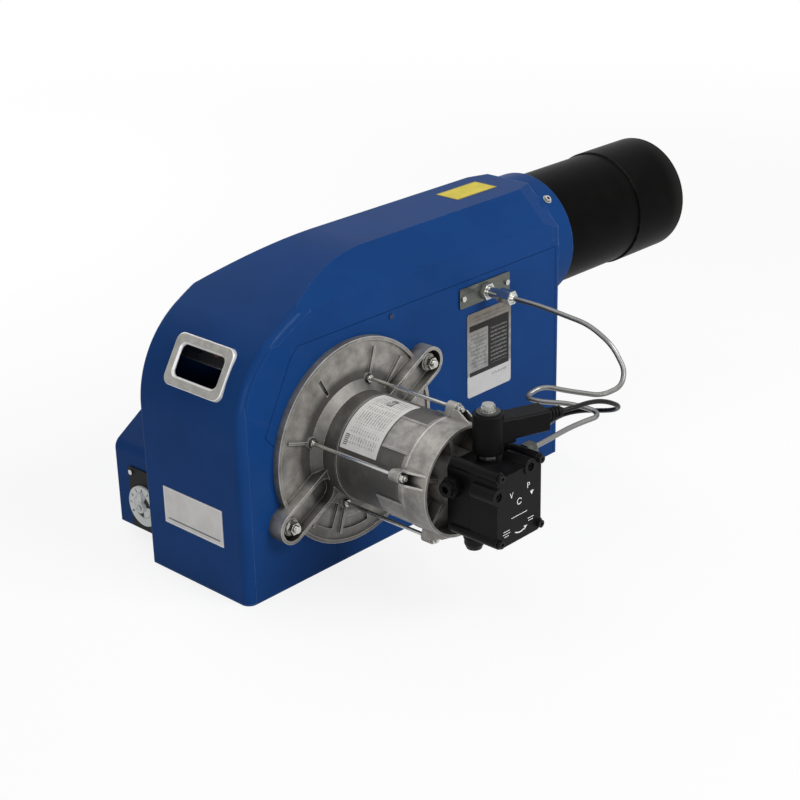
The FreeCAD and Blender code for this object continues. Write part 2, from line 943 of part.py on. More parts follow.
def make_scroll():
    """Spiral wall round the fan, with a sloping roof and floor that lead the air to the blast tube."""
    y0 = -side + 2 * sheet + 1
    y1 = fan_gap
    steps = 12
    turn = 270.0 + tongue_angle

    def curve(extra):
        line = Part.BSplineCurve()
        line.interpolate([spiral_point(extra, turn * k / steps, y0) for k in range(steps + 1)])
        return line.toShape()

    inner = curve(0.0)
    outer = curve(sheet)
    first = Part.LineSegment(spiral_point(0, 0, y0), spiral_point(sheet, 0, y0)).toShape()
    last = Part.LineSegment(spiral_point(0, turn, y0), spiral_point(sheet, turn, y0)).toShape()
    wire = Part.Wire(Part.__sortEdges__([inner, outer, first, last]))
    spiral = Part.Face(wire).extrude(vec(0, y1 - y0, 0))
    crest = spiral_point(0, turn, y0)
    tongue = spiral_point(0, 0, y0)
    roof_end = tube_height + tube_radius - tube_wall
    roof = prism_xz([(crest.x, crest.z), (duct_end, roof_end), (duct_end, roof_end + sheet),
                     (crest.x, crest.z + sheet)], y0, y1)
    floor = prism_xz([(tongue.x, tongue.z), (duct_end, duct_floor), (duct_end, duct_floor - sheet),
                      (tongue.x + 1.0, tongue.z - sheet)], y0, y1)
    return fused(spiral, roof, floor).common(housing_solid(sheet + SEAT))


def make_scroll_plate():
    """Plate across the housing that closes the spiral, carries the inlet cone and is notched for the shelf."""
    y0 = fan_gap
    y1 = fan_gap + sheet
    radius = fan_radius + tongue_gap + spiral_growth + sheet + plate_margin
    half = plate_foot_half
    plate = disc(radius, y0, y1)
    duct = prism_xz([(0, motor_height), (half, duct_floor - 40), (duct_end, duct_floor - 8),
                     (duct_end, tube_height + tube_radius), (0, motor_height + radius)], y0, y1)
    foot = block(-half, half, y0, y1, sheet, motor_height)
    flange = block(-half, half, y0, y0 + plate_foot_flange, sheet, 2 * sheet)
    plate = fused(plate, duct, foot, flange)
    shelf_start, shelf_end = shelf_span()
    plate = plate.cut(block(shelf_start - SEAT, shelf_end + SEAT, y0 - 1, y1 + 1, shelf_height - SEAT,
                            housing_height))
    eye = eye_radius
    rim = sheet * 0.9
    cone = turned([(eye, -8), (eye + sheet, -8), (eye + sheet, 0), (eye + 8, 6), (eye + 8 - rim, 6 + rim),
                   (eye, 0.8)], (0, y1, motor_height), (0, 1, 0))
    return plate.cut(disc(eye + sheet / 2, y0 - 1, y1 + 1)).fuse(cone).removeSplitter()


def make_fan():
    """Forward-curved drum: hub, back plate, blades and front ring."""
    y0 = -fan_back
    y1 = y0 + fan_width
    inner = fan_radius - blade_depth
    plate = disc(fan_radius, y0, y0 + fan_plate)
    hub = disc(fan_hub_radius, y0, y0 + fan_hub_length)
    ring = disc(fan_radius, y1 - fan_plate, y1).cut(disc(inner, y1 - 2 * fan_plate, y1 + 1))
    root = y0 + 0.75 * fan_plate
    places = (
        (inner + 0.5, 0.0), ((inner + fan_radius) / 2, 0.30 * blade_lean), (fan_radius - 0.5, blade_lean),
    )
    blades = []
    for k in range(blade_count):
        base = 360.0 * k / blade_count
        hollow = [vec(*at_motor(r, base - turn, root)) for r, turn in places]
        crown = [vec(*at_motor(r, base - turn + math.degrees(blade_sheet / r), root)) for r, turn in places]
        edges = [
            Part.Arc(*hollow).toShape(),
            Part.LineSegment(hollow[2], crown[2]).toShape(),
            Part.Arc(crown[2], crown[1], crown[0]).toShape(),
            Part.LineSegment(crown[0], hollow[0]).toShape(),
        ]
        blades.append(Part.Face(Part.Wire(edges)).extrude(vec(0, fan_width - 1.5 * fan_plate, 0)))
    wheel = plate.multiFuse([hub, ring] + blades)
    return wheel.cut(disc(shaft_radius, y0 - 1, y0 + fan_hub_length + 1))


# Motor

def stud_places(y):
    return [at_motor(arm_reach, arm_angle + turn, y) for turn in (0, 180)]


def flange_wedge(low, high, y0, y1):
    """Sector between two angles about the motor axis."""
    middle = (low + high) / 2
    reach = 2 * flange_radius
    corners = [(0, motor_height)]
    for angle in (low, middle, high):
        x, y, z = at_motor(reach, angle, y0)
        corners.append((x, z))
    return prism_xz(corners, y0, y1)


def tie_places(y, radius=None):
    """The four tie rods' places in a plane across the motor axis."""
    circle = tie_circle if radius is None else radius
    return [at_motor(circle, tie_angle + 90 * k, y) for k in range(4)]


def shortened(end, share):
    """A point of the XZ plane between the motor axis and an end."""
    return end[0] * share, motor_height + (end[2] - motor_height) * share


def flange_arm(end, top):
    return slot_bar(arm_half_width, shortened(end, arm_root), (end[0], end[2]), cover_face, top)


def flange_channel(end, top):
    """The hollow of one arm, with a raised pad left standing for the stud's nut."""
    x, _, z = end
    floor = cover_face - arm_floor
    hollow = slot_bar(arm_half_width - arm_wall, shortened(end, channel_root), (x, z), floor, top - 1)
    hollow = hollow.cut(rod(pad_radius, (x, cover_face, z), (x, floor - pad_height, z)))
    return hollow.cut(disc(motor_radius, cover_face, top - 2))


def flange_ribs():
    ribs = []
    angles = [tie_angle + 90 * k for k in range(4)]
    angles += [arm_angle + extra_rib_turn + 180 * k for k in range(2)]
    for angle in angles:
        rib = block(motor_radius - rib_thick, rib_reach, hub_face - flange_rib_height, hub_face,
                    motor_height - rib_thick / 2, motor_height + rib_thick / 2)
        rib.rotate(vec(0, 0, motor_height), vec(0, 1, 0), -angle)
        ribs.append(rib)
    return ribs


def make_flange():
    """Cast flange: disc with a raised edge, ribs, hub, two hollow arms, pockets and the tie-rod lugs."""
    face = cover_face
    plate = disc(flange_radius, face, hub_face)
    edge = disc(flange_radius, hub_face, hub_face - lip_height)
    edge = edge.cut(disc(flange_radius - lip_thick, hub_face + 1, hub_face - lip_height - 1))
    spigot = disc(flange_hole - SEAT, face, face + 2 * sheet)
    hub = disc(motor_radius, hub_face, stator_face)
    bead = disc(motor_radius + ring_height, stator_face + ring_width, stator_face)
    neck = turned([(0, 0), (motor_radius + neck_reach, 0), (motor_radius, neck_length), (0, neck_length)],
                  (0, hub_face, motor_height), (0, -1, 0))
    top = face - arm_height
    pieces = [edge, spigot, hub, bead, neck] + flange_ribs()
    pieces += [flange_arm(end, top) for end in stud_places(0)]
    lug_face = hub_face - front_lug
    for lug, foot in zip(tie_places(0), tie_places(0, motor_radius - rib_thick)):
        pieces.append(slot_bar(lug_radius, (foot[0], foot[2]), (lug[0], lug[2]), hub_face, lug_face))
    body = fused(plate, *pieces)
    for end in stud_places(0):
        x, _, z = end
        body = body.cut(flange_channel(end, top))
        body = body.cut(rod(stud_radius + stud_room, (x, face + flange_floor, z), (x, top - 1, z)))
    floor = hub_face - bearing_inset
    body = body.cut(disc(motor_radius - motor_wall, floor, stator_face - 1))
    body = body.cut(disc(bearing_radius, floor + bearing_width, floor - 1))
    body = body.cut(disc(shaft_radius + shaft_room, face + flange_floor, stator_face))
    for x, _, z in tie_places(0):
        reach = hub_face - neck_length
        body = body.cut(rod(tie_radius, (x, hub_face + flange_thick / 2, z), (x, reach, z)))
        body = body.cut(rod(lug_radius, (x, lug_face, z), (x, reach, z)))
    floor = hub_face + pocket_depth
    for low, high, inner, outer in pockets:
        ring = disc(outer, floor, hub_face - 0.5).cut(disc(inner, floor + 1, hub_face - 1))
        body = body.cut(flange_wedge(low, high, floor, hub_face - 0.5).common(ring))
    return body


def make_stator():
    """Motor shell, laminated core, two winding heads and the rotor inside."""
    wall = motor_radius - motor_wall
    shell = tube(motor_radius, wall, (0, stator_face, motor_height), (0, shield_face, motor_height))
    middle = (stator_face + shield_face) / 2
    y0 = middle + core_length / 2
    y1 = middle - core_length / 2
    core = disc(wall, y0, y1).cut(disc(core_radius, y0 + 1, y1 - 1))
    windings = []
    for start, end in ((y0, y0 + winding_length), (y1, y1 - winding_length)):
        ring = disc(wall - winding_gap, start, end)
        hole = disc(core_radius + 2 * winding_gap, start - 2 * winding_length, end + 2 * winding_length)
        windings.append(ring.cut(hole))
    rotor = disc(core_radius - air_gap, y0, y1).cut(disc(shaft_radius, y0 + 1, y1 - 1))
    return shell, core, windings, rotor


def motor_sector(low, high, y0, y1):
    """Sector between two angles, reaching beyond the motor."""
    return flange_wedge(low, high, y0, y1)


def shield_tongues():
    """Four shallow tongues that reach from the shield over the shell, each with a ridge along both sides."""
    start = shield_face - shield_step - 2
    end = shield_face + tongue_reach
    low = motor_radius + label_lift
    high = low + tongue_sheet
    band = tube(high, low, (0, start, motor_height), (0, end, motor_height))
    pieces = []
    for k in range(4):
        centre = tongue_centre + 90 * k
        edges = (centre - tongue_half_angle, centre + tongue_half_angle)
        tongue = band.common(motor_sector(edges[0], edges[1], start - 1, end + 1))
        for angle in edges:
            ridge = block(low, high + tongue_ridge, start, end, motor_height - tongue_ridge_half,
                          motor_height + tongue_ridge_half)
            ridge.rotate(vec(0, 0, motor_height), vec(0, 1, 0), -angle)
            tongue = tongue.fuse(ridge)
        pieces.append(tongue.cut(disc(low, end + 1, start)).removeSplitter())
    return pieces


def lug_webs():
    """Two tapered walls beside each tie-rod nut, running out to the shield's rim."""
    low = shield_radius - shield_rim / 2
    start = shield_face - rear_lug + 1
    front_end = start - lug_web_front
    end = shield_end + shield_step
    webs = []
    for k in range(4):
        for hand in (-1, 1):
            z = motor_height + hand * lug_web_offset - lug_web_sheet / 2
            points = [vec(low, start, z), vec(tie_circle, start, z), vec(tie_circle, front_end, z),
                      vec(shield_radius + 0.5, end, z), vec(low, end, z)]
            web = prism(points, vec(0, 0, lug_web_sheet))
            web.rotate(vec(0, 0, motor_height), vec(0, 1, 0), -(tie_angle + 90 * k))
            webs.append(web)
    return webs


def make_shield():
    """Pump-end shield: deep rim, bead, ribbed floor, pump socket, tongues and tie-rod lugs."""
    floor = shield_face - shield_web
    bead = shield_step + 2
    crown = shield_radius + ring_height
    points = [
        (0, 0), (motor_radius, 0), (motor_radius, shield_step), (crown, bead), (crown, bead + ring_width),
        (shield_radius, bead + ring_width + 1), (shield_radius, shield_length), (0, shield_length),
    ]
    outer = turned(points, (0, shield_face, motor_height), (0, -1, 0))
    recess = disc(shield_radius - shield_rim, floor - shield_floor, shield_end - 1)
    body = outer.cut(recess).cut(disc(motor_radius - motor_wall, shield_face + 1, floor))
    socket = disc(nose_radius + pump_socket_wall, floor, pump_back)
    boss = disc(bearing_radius + 4, shield_face, floor)
    pieces = [socket, boss] + lug_webs()
    for k in range(shield_ribs):
        rib = block(nose_radius, shield_radius - 1, shield_end + 9, floor, motor_height - shield_rib_half,
                    motor_height + shield_rib_half)
        rib.rotate(vec(0, 0, motor_height), vec(0, 1, 0), -(tie_angle + 30 + 360 / shield_ribs * k))
        pieces.append(rib)
    seat = shield_face - rear_lug
    for lug, foot in zip(tie_places(0), tie_places(0, motor_radius - rib_thick)):
        bar = slot_bar(lug_radius, (foot[0], foot[2]), (lug[0], lug[2]), shield_face, seat)
        pieces.append(bar.cut(disc(motor_radius - 2, shield_face + 1, shield_end)))
    body = fused(body, *pieces).cut(disc(nose_radius + SEAT / 2, floor - shield_floor, pump_back - 1))
    body = body.cut(disc(bearing_radius, shield_face + 1, shield_face - bearing_width))
    body = body.cut(disc(shaft_radius + shaft_room, shield_face + 1, pump_back))
    for x, _, z in tie_places(0):
        body = body.cut(rod(tie_radius, (x, shield_face + 1, z), (x, seat - 1, z)))
    return fused(body, *shield_tongues())


def make_tie_rods():
    """Four long rods that clamp the stator between the two castings, with a nut at each end."""
    rods = []
    nuts = []
    front_seat = hub_face - front_lug
    rear_seat = shield_face - rear_lug
    nut_seat = rear_seat - tie_washer_sheet
    for x, _, z in tie_places(0):
        shank = rod(tie_radius, (x, hub_face + flange_thick / 2, z), (x, rear_seat - tie_tail, z))
        washer = rod(tie_washer, (x, rear_seat, z), (x, nut_seat, z))
        nut = hexagon(tie_nut_flats, (x, nut_seat, z), (x, nut_seat - tie_nut_height, z))
        head = hexagon(tie_nut_flats, (x, front_seat, z), (x, front_seat - tie_nut_height, z))
        rods.append(shank)
        nuts += [washer.fuse(nut).removeSplitter().cut(shank), head.cut(shank)]
    return rods, nuts


def bearing(y0, y1):
    ring = disc(bearing_radius, y0, y1)
    for y, step in ((y0, -bearing_groove), (y1, bearing_groove)):
        groove = disc(bearing_radius - bearing_lip, y - step, y + step)
        ring = ring.cut(groove.cut(disc(shaft_radius + bearing_lip, y - 2 * step, y + 2 * step)))
    return ring.cut(disc(shaft_radius + RUNNING, y0 + 1, y1 - 1))


def make_bearings():
    first = hub_face - bearing_inset + bearing_width
    return [bearing(y, y - bearing_width) for y in (first, shield_face)]


def make_shaft():
    return disc(shaft_radius, -fan_back + fan_hub_length + 1, shield_end + shaft_reach)


def make_coupling():
    """Plastic coupling between the motor's shaft and the thinner pump shaft."""
    start = shield_end + shaft_reach + 7
    end = shield_end + 6
    body = disc(coupling_radius, start, end)
    body = body.cut(disc(shaft_radius, start + 1, shield_end + shaft_reach))
    return body.cut(disc(pump_shaft_radius, shield_end + shaft_reach + 1, end - 1))


def make_motor_label():
    start = stator_face - 2
    end = start - label_length
    inner = motor_radius + label_lift
    ring = tube(inner + label_sheet, inner, (0, start, motor_height), (0, end, motor_height))
    return ring.common(motor_sector(label_start_angle, label_end_angle, start + 1, end - 1))


def make_studs():
    studs = []
    washers = []
    nuts = []
    seat = cover_face - arm_floor - pad_height
    nut_seat = seat - stud_washer_sheet
    end = nut_seat - stud_nut_height
    for x, _, z in stud_places(0):
        inside = -side + sheet
        shank = rod(stud_radius, (x, inside, z), (x, seat - stud_tail, z))
        head = hexagon(stud_head_flats, (x, inside, z), (x, inside + 5, z))
        studs.append(shank.fuse(head).removeSplitter())
        washers.append(tube(stud_washer, stud_radius, (x, seat, z), (x, nut_seat, z)))
        nuts.append(hexagon(stud_nut_flats, (x, nut_seat, z), (x, end, z)).cut(rod(stud_radius, (x, seat, z),
                                                                                (x, end - 1, z))))
    return studs, washers, nuts


# Oil pump

def pump_outline(y0, y1, shrink=0.0):
    w = pump_half_width - shrink
    h = pump_half_height - shrink
    body = block(-w, w, y1, y0, pump_height - h, pump_height + h)
    return round_along(body, vec(0, 1, 0), pump_corner)


def pump_screws():
    x = pump_half_width - pump_screw_inset
    low = pump_height - pump_half_height + pump_screw_low
    high = pump_height + pump_half_height + pump_screw_high
    return [(-x, low), (x, low), (x, high), (-x, high)]


def bosses(places, radius, start, end):
    """Round bosses along the pump at several places of its face."""
    return [rod(radius, (x, start, z), (x, end, z)) for x, z in places]


def port_bosses():
    return [(-pump_half_width + 1, pump_height + 22), (17.0, pump_height + pump_half_height - 2)]


def coil_seat():
    x, y = coil_spot()
    top = pump_height + pump_half_height
    return rod(seat_radius, (x, y, top - seat_radius), (x, y, top + seat_rise))


def make_pump_body():
    """Back half of the pump: gear housing with its mounting nose, screw bosses and threaded ports."""
    nose = disc(nose_radius, pump_back + nose_depth, pump_back - 1)
    x, y, z = drain_spot()
    drain = rod(drain_radius + 1, (x, y, z), (x, y, z + drain_boss + stem_seat))
    pieces = [nose, coil_seat(), drain]
    pieces += bosses(pump_screws(), pump_screw_radius, pump_back - shank_depth, pump_split)
    body = fused(pump_outline(pump_back, pump_split, 0.6), *pieces)
    body = body.cut(rod(drain_shank, (x, y, z - 1), (x, y, z + shank_depth)))
    x, y = coil_spot()
    top = pump_height + pump_half_height
    body = body.cut(rod(stem_radius, (x, y, top - stem_seat), (x, y, top + seat_rise + 1)))
    body = body.cut(disc(pump_shaft_radius + RUNNING, pump_back + nose_depth + 1, pump_split + port_depth))
    x, y, z = inlet_spot()
    return body.cut(rod(inlet_shank, (x - 1, y, z), (x + shank_depth, y, z)))


def make_pump_cover():
    """Front half of the pump, with the port bosses that stand on its face."""
    boss_start = pump_split - shank_depth + 0.5
    pieces = bosses(pump_screws(), pump_screw_radius, pump_split, pump_front)
    pieces += bosses(port_bosses(), port_boss_radius, boss_start, pump_front - 1.5)
    cover = fused(pump_outline(pump_split, pump_front), *pieces).cut(coil_seat())
    x, y, z = outlet_spot()
    cover = cover.cut(rod(outlet_shank, (x - outlet_depth, y, z), (x + 1, y, z)))
    holes = bosses(port_bosses(), port_bore, pump_front + port_depth, pump_front - 2)
    holes += bosses(pump_screws(), pump_bolt, pump_front + pump_bolt_depth, pump_front - 1)
    return cover.cut(group(holes))


def make_pump_screws():
    screws = []
    top = pump_front - pump_bolt_height
    for x, z in pump_screws():
        head = rod(pump_bolt_head, (x, pump_front, z), (x, top, z))
        shank = rod(pump_bolt, (x, pump_front + pump_bolt_depth, z), (x, pump_front, z))
        socket = hexagon(pump_bolt_socket, (x, pump_front - pump_bolt_height / 2, z), (x, top - 1, z))
        screws.append(fused(head, shank).cut(socket))
    return screws


def make_port_plugs():
    plugs = []
    for x, z in port_bosses():
        plug = rod(port_bore, (x, pump_front + port_depth, z), (x, pump_front + 1, z))
        plugs.append(plug.cut(hexagon(port_bore, (x, pump_front + port_depth - 3, z), (x, pump_front - 1, z))))
    return plugs


def coil_spot():
    return (coil_x, pump_back - coil_offset)


def inlet_spot():
    return (-pump_half_width + 0.6, pump_back - 11.5, pump_height + 18)


def outlet_spot():
    return (pump_half_width + pump_screw_radius - pump_screw_inset + 0.2, pump_split - 5.2,
            pump_height + pump_half_height - 5.1)


def drain_spot():
    return (-16.0, pump_back - 20.5, pump_height - pump_half_height - drain_boss)


def make_inlet_adapter():
    """Hexagon suction adapter on the side of the pump, open for the oil hose."""
    x, y, z = inlet_spot()
    body = hexagon(inlet_flats, (x, y, z), (x - inlet_hex, y, z))
    neck = rod(inlet_neck, (x - inlet_hex, y, z), (x - inlet_length, y, z))
    shank = rod(inlet_shank, (x, y, z), (x + shank_depth, y, z))
    return fused(body, neck, shank).cut(rod(inlet_bore, (x - 3, y, z), (x - inlet_length - 1, y, z)))


def make_drain_plug():
    """Tapered plug under the pump, with a hexagon socket and a threaded shank."""
    x, y, z = drain_spot()
    low = z - drain_height
    head = rod(drain_radius, (x, y, z), (x, y, low))
    grip = Part.makeCone(drain_radius, drain_radius - 2.5, drain_taper, vec(x, y, low), vec(0, 0, -1))
    socket = hexagon(drain_socket, (x, y, low - 1), (x, y, low - drain_taper - 1))
    shank = rod(drain_shank, (x, y, z), (x, y, z + shank_depth))
    return fused(head, grip, shank).cut(socket)


def nut_cone(place, axis):
    """The tapered mouth of a pipe nut."""
    wide = fitting_neck
    return turned([(0, 0), (wide, 0), (wide - 2.2, pipe_nut_cone), (0, pipe_nut_cone)], place, axis)


def make_outlet_fitting():
    """Pressure outlet of the pump: a screwed-in base, a neck and the nut that holds the steel pipe."""
    x, y, z = outlet_spot()
    nut_start = x + outlet_nut_start
    nut_end = nut_start + outlet_nut
    shank = rod(outlet_shank, (x - outlet_depth, y, z), (x, y, z))
    base = hexagon(outlet_nut, (x, y, z), (x + outlet_base, y, z))
    nut = hexagon(pipe_nut_flats, (nut_start, y, z), (nut_end, y, z))
    neck = rod(fitting_neck - 1, (x + outlet_base - 1, y, z), (nut_start + 1, y, z))
    body = fused(shank, base, neck, nut, nut_cone((nut_end, y, z), (1, 0, 0)))
    return body.cut(rod(pipe_radius, (x + outlet_room, y, z), (nut_end + 2 * pipe_nut_cone, y, z)))


def make_clamp_screws():
    """Two screws through the shield's socket that hold the pump's nose."""
    screws = []
    y = shield_end - shield_step
    outside = nose_radius + pump_socket_wall
    for angle in (tie_angle + 90, tie_angle + 270):
        foot = at_motor(nose_radius + SEAT, angle, y)
        seat = at_motor(outside, angle, y)
        top = at_motor(outside + clamp_bolt_height, angle, y)
        screws.append(rod(clamp_bolt, foot, seat).fuse(hexagon(clamp_bolt_flats, seat, top)).removeSplitter())
    return screws


# Solenoid valve

def connector_shelf():
    """Height of the connector's underside."""
    return pump_height + pump_half_height + coil_base + connector_rise


def connector_block(start, end, low, high):
    """A block along the connector's direction, with rounded edges."""
    x, y = coil_spot()
    body = block(start, end, -connector_width / 2, connector_width / 2, low, high)
    body = round_along(body, vec(1, 0, 0), connector_edge)
    body.rotate(vec(0, 0, 0), vec(0, 0, 1), -connector_turn)
    body.translate(vec(x, y, connector_shelf()))
    return body


def make_stem():
    """Fixed stem of the valve: threaded foot, hexagon and the bore in which the plunger slides."""
    x, y = coil_spot()
    top = pump_height + pump_half_height
    low = top + coil_base
    rest = top + plunger_rest
    lift_room = plunger_length + 2 * plunger_travel
    bore = rod(plunger_radius + SLIDING, (x, y, rest - SLIDING), (x, y, rest + lift_room))
    flange = hexagon(stem_flats, (x, y, top + seat_rise), (x, y, low))
    stem = rod(stem_radius, (x, y, top - stem_seat), (x, y, low + coil_height + stem_tail))
    return fused(stem, flange).cut(bore)


def make_plunger():
    x, y = coil_spot()
    rest = pump_height + pump_half_height + plunger_rest
    return rod(plunger_radius, (x, y, rest), (x, y, rest + plunger_length))


def make_coil():
    """Moulded coil: a round body with an arm for the plug."""
    x, y = coil_spot()
    low = pump_height + pump_half_height + coil_base
    high = low + coil_height
    coil = rod(coil_radius, (x, y, low), (x, y, high))
    coil = fused(coil, connector_block(0, connector_start, -4, connector_height + 1))
    coil = coil.cut(rod(stem_radius, (x, y, low - 1), (x, y, high + 1)))
    rounds = [e for e in coil.Edges if isinstance(e.Curve, Part.Circle)]
    return coil.makeFillet(coil_edge, [e for e in rounds if abs(e.Curve.Radius - coil_radius) < 0.1])


def make_coil_nut():
    x, y = coil_spot()
    high = pump_height + pump_half_height + coil_base + coil_height
    seat = high + coil_washer_sheet
    top = seat + coil_nut_height
    washer = tube(coil_washer, stem_radius, (x, y, high), (x, y, seat))
    nut = hexagon(coil_nut_flats, (x, y, seat), (x, y, top))
    nut = nut.cut(rod(stem_radius, (x, y, seat - 1), (x, y, top + 1)))
    return nut.fuse(washer).removeSplitter()


def boot_place():
    """Start of the cable boot on the plug, and its direction."""
    x, y = coil_spot()
    turn = math.radians(-connector_turn)
    along = vec(math.cos(turn), math.sin(turn), 0)
    return vec(x, y, connector_shelf() + boot_rise) + along * connector_reach, along


def make_boot():
    """Ribbed bend relief on the cable, tapered at its end."""
    start, along = boot_place()
    straight = boot_length - boot_taper
    taper = start + along * straight
    boot = rod(boot_radius, tuple(start), tuple(taper))
    boot = boot.fuse(Part.makeCone(boot_radius - 0.5, cable_radius + 1, boot_taper, taper, along))
    pitch = (boot_length - 2 * boot_taper) / boot_grooves
    for k in range(boot_grooves):
        a = start + along * (3 + pitch * k)
        b = a + along * (0.4 * pitch)
        boot = boot.cut(tube(boot_radius + 1, boot_radius - boot_groove_depth, tuple(a), tuple(b)))
    return boot


def cable_points():
    """Route of the valve cable: out of the boot, round in a loose turn and back to the housing."""
    from_tip = [
        (13.6, -4.2, -0.5), (32.6, -4.5, -1.5), (50.6, -5.3, -4.5), (64.6, -7.2, -8.5), (77.6, -8.3, -14.5),
        (89.6, -7.6, -21.5), (98.6, -2.0, -29.0), (105.1, 8.5, -36.5), (110.6, 23.5, -43.5),
        (115.6, 42.5, -50.5), (119.6, 62.5, -57.5), (121.1, 81.5, -65.5),
    ]
    to_gland = [
        (-70.0, -137.0, 72.0), (-62.0, -118.0, 57.0), (-49.0, -100.0, 41.5), (-33.0, -84.0, 27.5),
        (-17.5, -67.0, 14.5), (-5.5, -48.0, 5.0), (0.0, -27.0, 0.5), (0.0, -gland_floor - 1, 0.0),
    ]
    start, along = boot_place()
    tip = start + along * boot_length
    route = [tuple(tip)]
    route += [(tip.x + x, tip.y + y, tip.z + z) for x, y, z in from_tip]
    route += [(gland_x + x, cover_face + y, gland_height + z) for x, y, z in to_gland]
    return route


def pipe_points():
    """Bends of the steel fuel pipe, from the side fitting to the pump's outlet."""
    entry = bracket_sheet + fitting_length + line_nut_length - pipe_entry
    from_fitting = [(0.0, -entry, 0.0), (0.0, -88.0, 0.0), (2.0, -158.0, -7.0), (6.0, -189.0, -26.0)]
    to_outlet = [
        (202.0, 11.2, 31.6), (191.0, 7.2, 15.6), (174.0, 22.2, 5.6), (159.0, 62.2, 5.6), (151.0, 91.2, 6.6),
        (122.0, 94.2, 0.6), (122.0, 71.2, 1.6), (136.0, 34.2, 4.6), (146.0, -3.8, -0.4), (97.0, 3.2, -0.4),
        (40.0, 0.0, 0.0), (outlet_room, 0.0, 0.0),
    ]
    x0, y0, z0 = outlet_spot()
    route = [(line_x + x, cover_face + y, line_height + z) for x, y, z in from_fitting]
    return route + [(x0 + x, y0 + y, z0 + z) for x, y, z in to_outlet]


# Fittings on the side cover

def make_line_bracket():
    y = cover_face
    outside = y - bracket_sheet
    plate = block(line_x - bracket_half, line_x + bracket_half, outside, y, line_height - bracket_rise,
                  line_height + bracket_rise)
    plate = round_along(plate, vec(0, 1, 0), bracket_corner)
    entry = rod(line_radius + entry_room, (line_x, outside - 1, line_height), (line_x, y + 1, line_height))
    return plate.cut(entry)


def make_line_fitting():
    """Bulkhead fitting of the nozzle line with the nut of the steel pipe."""
    y = cover_face - bracket_sheet
    x = line_x
    z = line_height
    shoulder = y - fitting_base
    end = y - fitting_length
    nut_end = end - line_nut_length
    base = hexagon(fitting_flats, (x, y, z), (x, shoulder, z))
    neck = rod(fitting_neck, (x, shoulder, z), (x, end, z))
    entry = rod(line_radius, (x, y + 1, z), (x, y - line_entry, z))
    nut = hexagon(pipe_nut_flats, (x, end, z), (x, nut_end, z))
    body = fused(base, neck, nut, nut_cone((x, nut_end, z), (0, -1, 0)))
    pipe_bore = rod(pipe_radius, (x, nut_end + pipe_entry, z), (x, nut_end - 2 * pipe_nut_cone, z))
    return body.cut(entry).cut(pipe_bore)


def make_bracket_screws():
    y = cover_face - bracket_sheet
    screws = []
    for hand in (-1, 1):
        x = line_x + hand * (bracket_half - bracket_screw_inset)
        screws.append(rod(bracket_screw, (x, y, line_height), (x, y - bracket_screw_height, line_height)))
    return screws


def make_data_plate():
    middle = line_x + data_plate_offset
    high = line_height - bracket_rise - data_plate_gap
    plate = block(middle - data_plate_length / 2, middle + data_plate_length / 2, cover_face - data_plate_sheet,
                  cover_face, high - data_plate_height, high)
    return round_along(plate, vec(0, 1, 0), data_plate_corner)


def make_back_plate():
    half = back_plate_length / 2
    return block(back - back_plate_sheet, back, back_plate_shift - half, back_plate_shift + half,
                 back_plate_low, back_plate_low + back_plate_height)


def make_top_label():
    middle = front - top_label_from_front
    half = top_label_width / 2
    return block(middle - top_label_length / 2, middle + top_label_length / 2, top_label_shift - half,
                 top_label_shift + half, housing_height, housing_height + top_label_sheet)


def make_gland():
    """Cable gland on the side cover: flange, domed nut and a blind bore for the cable's end."""
    flange = gland_flange
    points = [
        (0, 0), (gland_radius, 0), (gland_radius, flange), (gland_neck, flange + 1),
        (gland_neck, gland_length - 1), (gland_neck - 1.5, gland_length), (cable_radius, gland_length),
        (cable_radius, gland_floor), (0, gland_floor),
    ]
    return turned(points, (gland_x, cover_face, gland_height), (0, -1, 0))


# Air intake box

def box_profile(inset):
    slope = math.tan(math.radians(box_slope))
    x0 = -box_back + inset
    x1 = box_front - inset
    z0 = box_bottom + inset
    z1 = box_top - inset
    shift = inset / math.cos(math.radians(box_slope))
    fold = box_fold - shift + inset * slope
    crest = x0 + (z1 - fold) / slope
    return [(x0, z0), (x0, fold), (crest, z1), (x1, z1), (x1, z0)]


def box_port(y0, y1):
    """The opening between the intake box and the housing."""
    hole = block(port_x - port_length / 2, port_x + port_length / 2, y0, y1,
                 port_z - port_height / 2, port_z + port_height / 2)
    return round_along(hole, vec(0, 1, 0), port_corner)


def fold_rounded(solid, radius):
    """The box's sloping lid joins its upright end in a round bend."""
    end = solid.BoundBox.XMin
    bend = [e for e in solid.Edges if abs(e.CenterOfMass.x - end) < 0.01
            and abs(e.CenterOfMass.z - box_fold) < 2 * sheet and e.BoundBox.ZLength < 0.01]
    return solid.makeFillet(radius, bend)


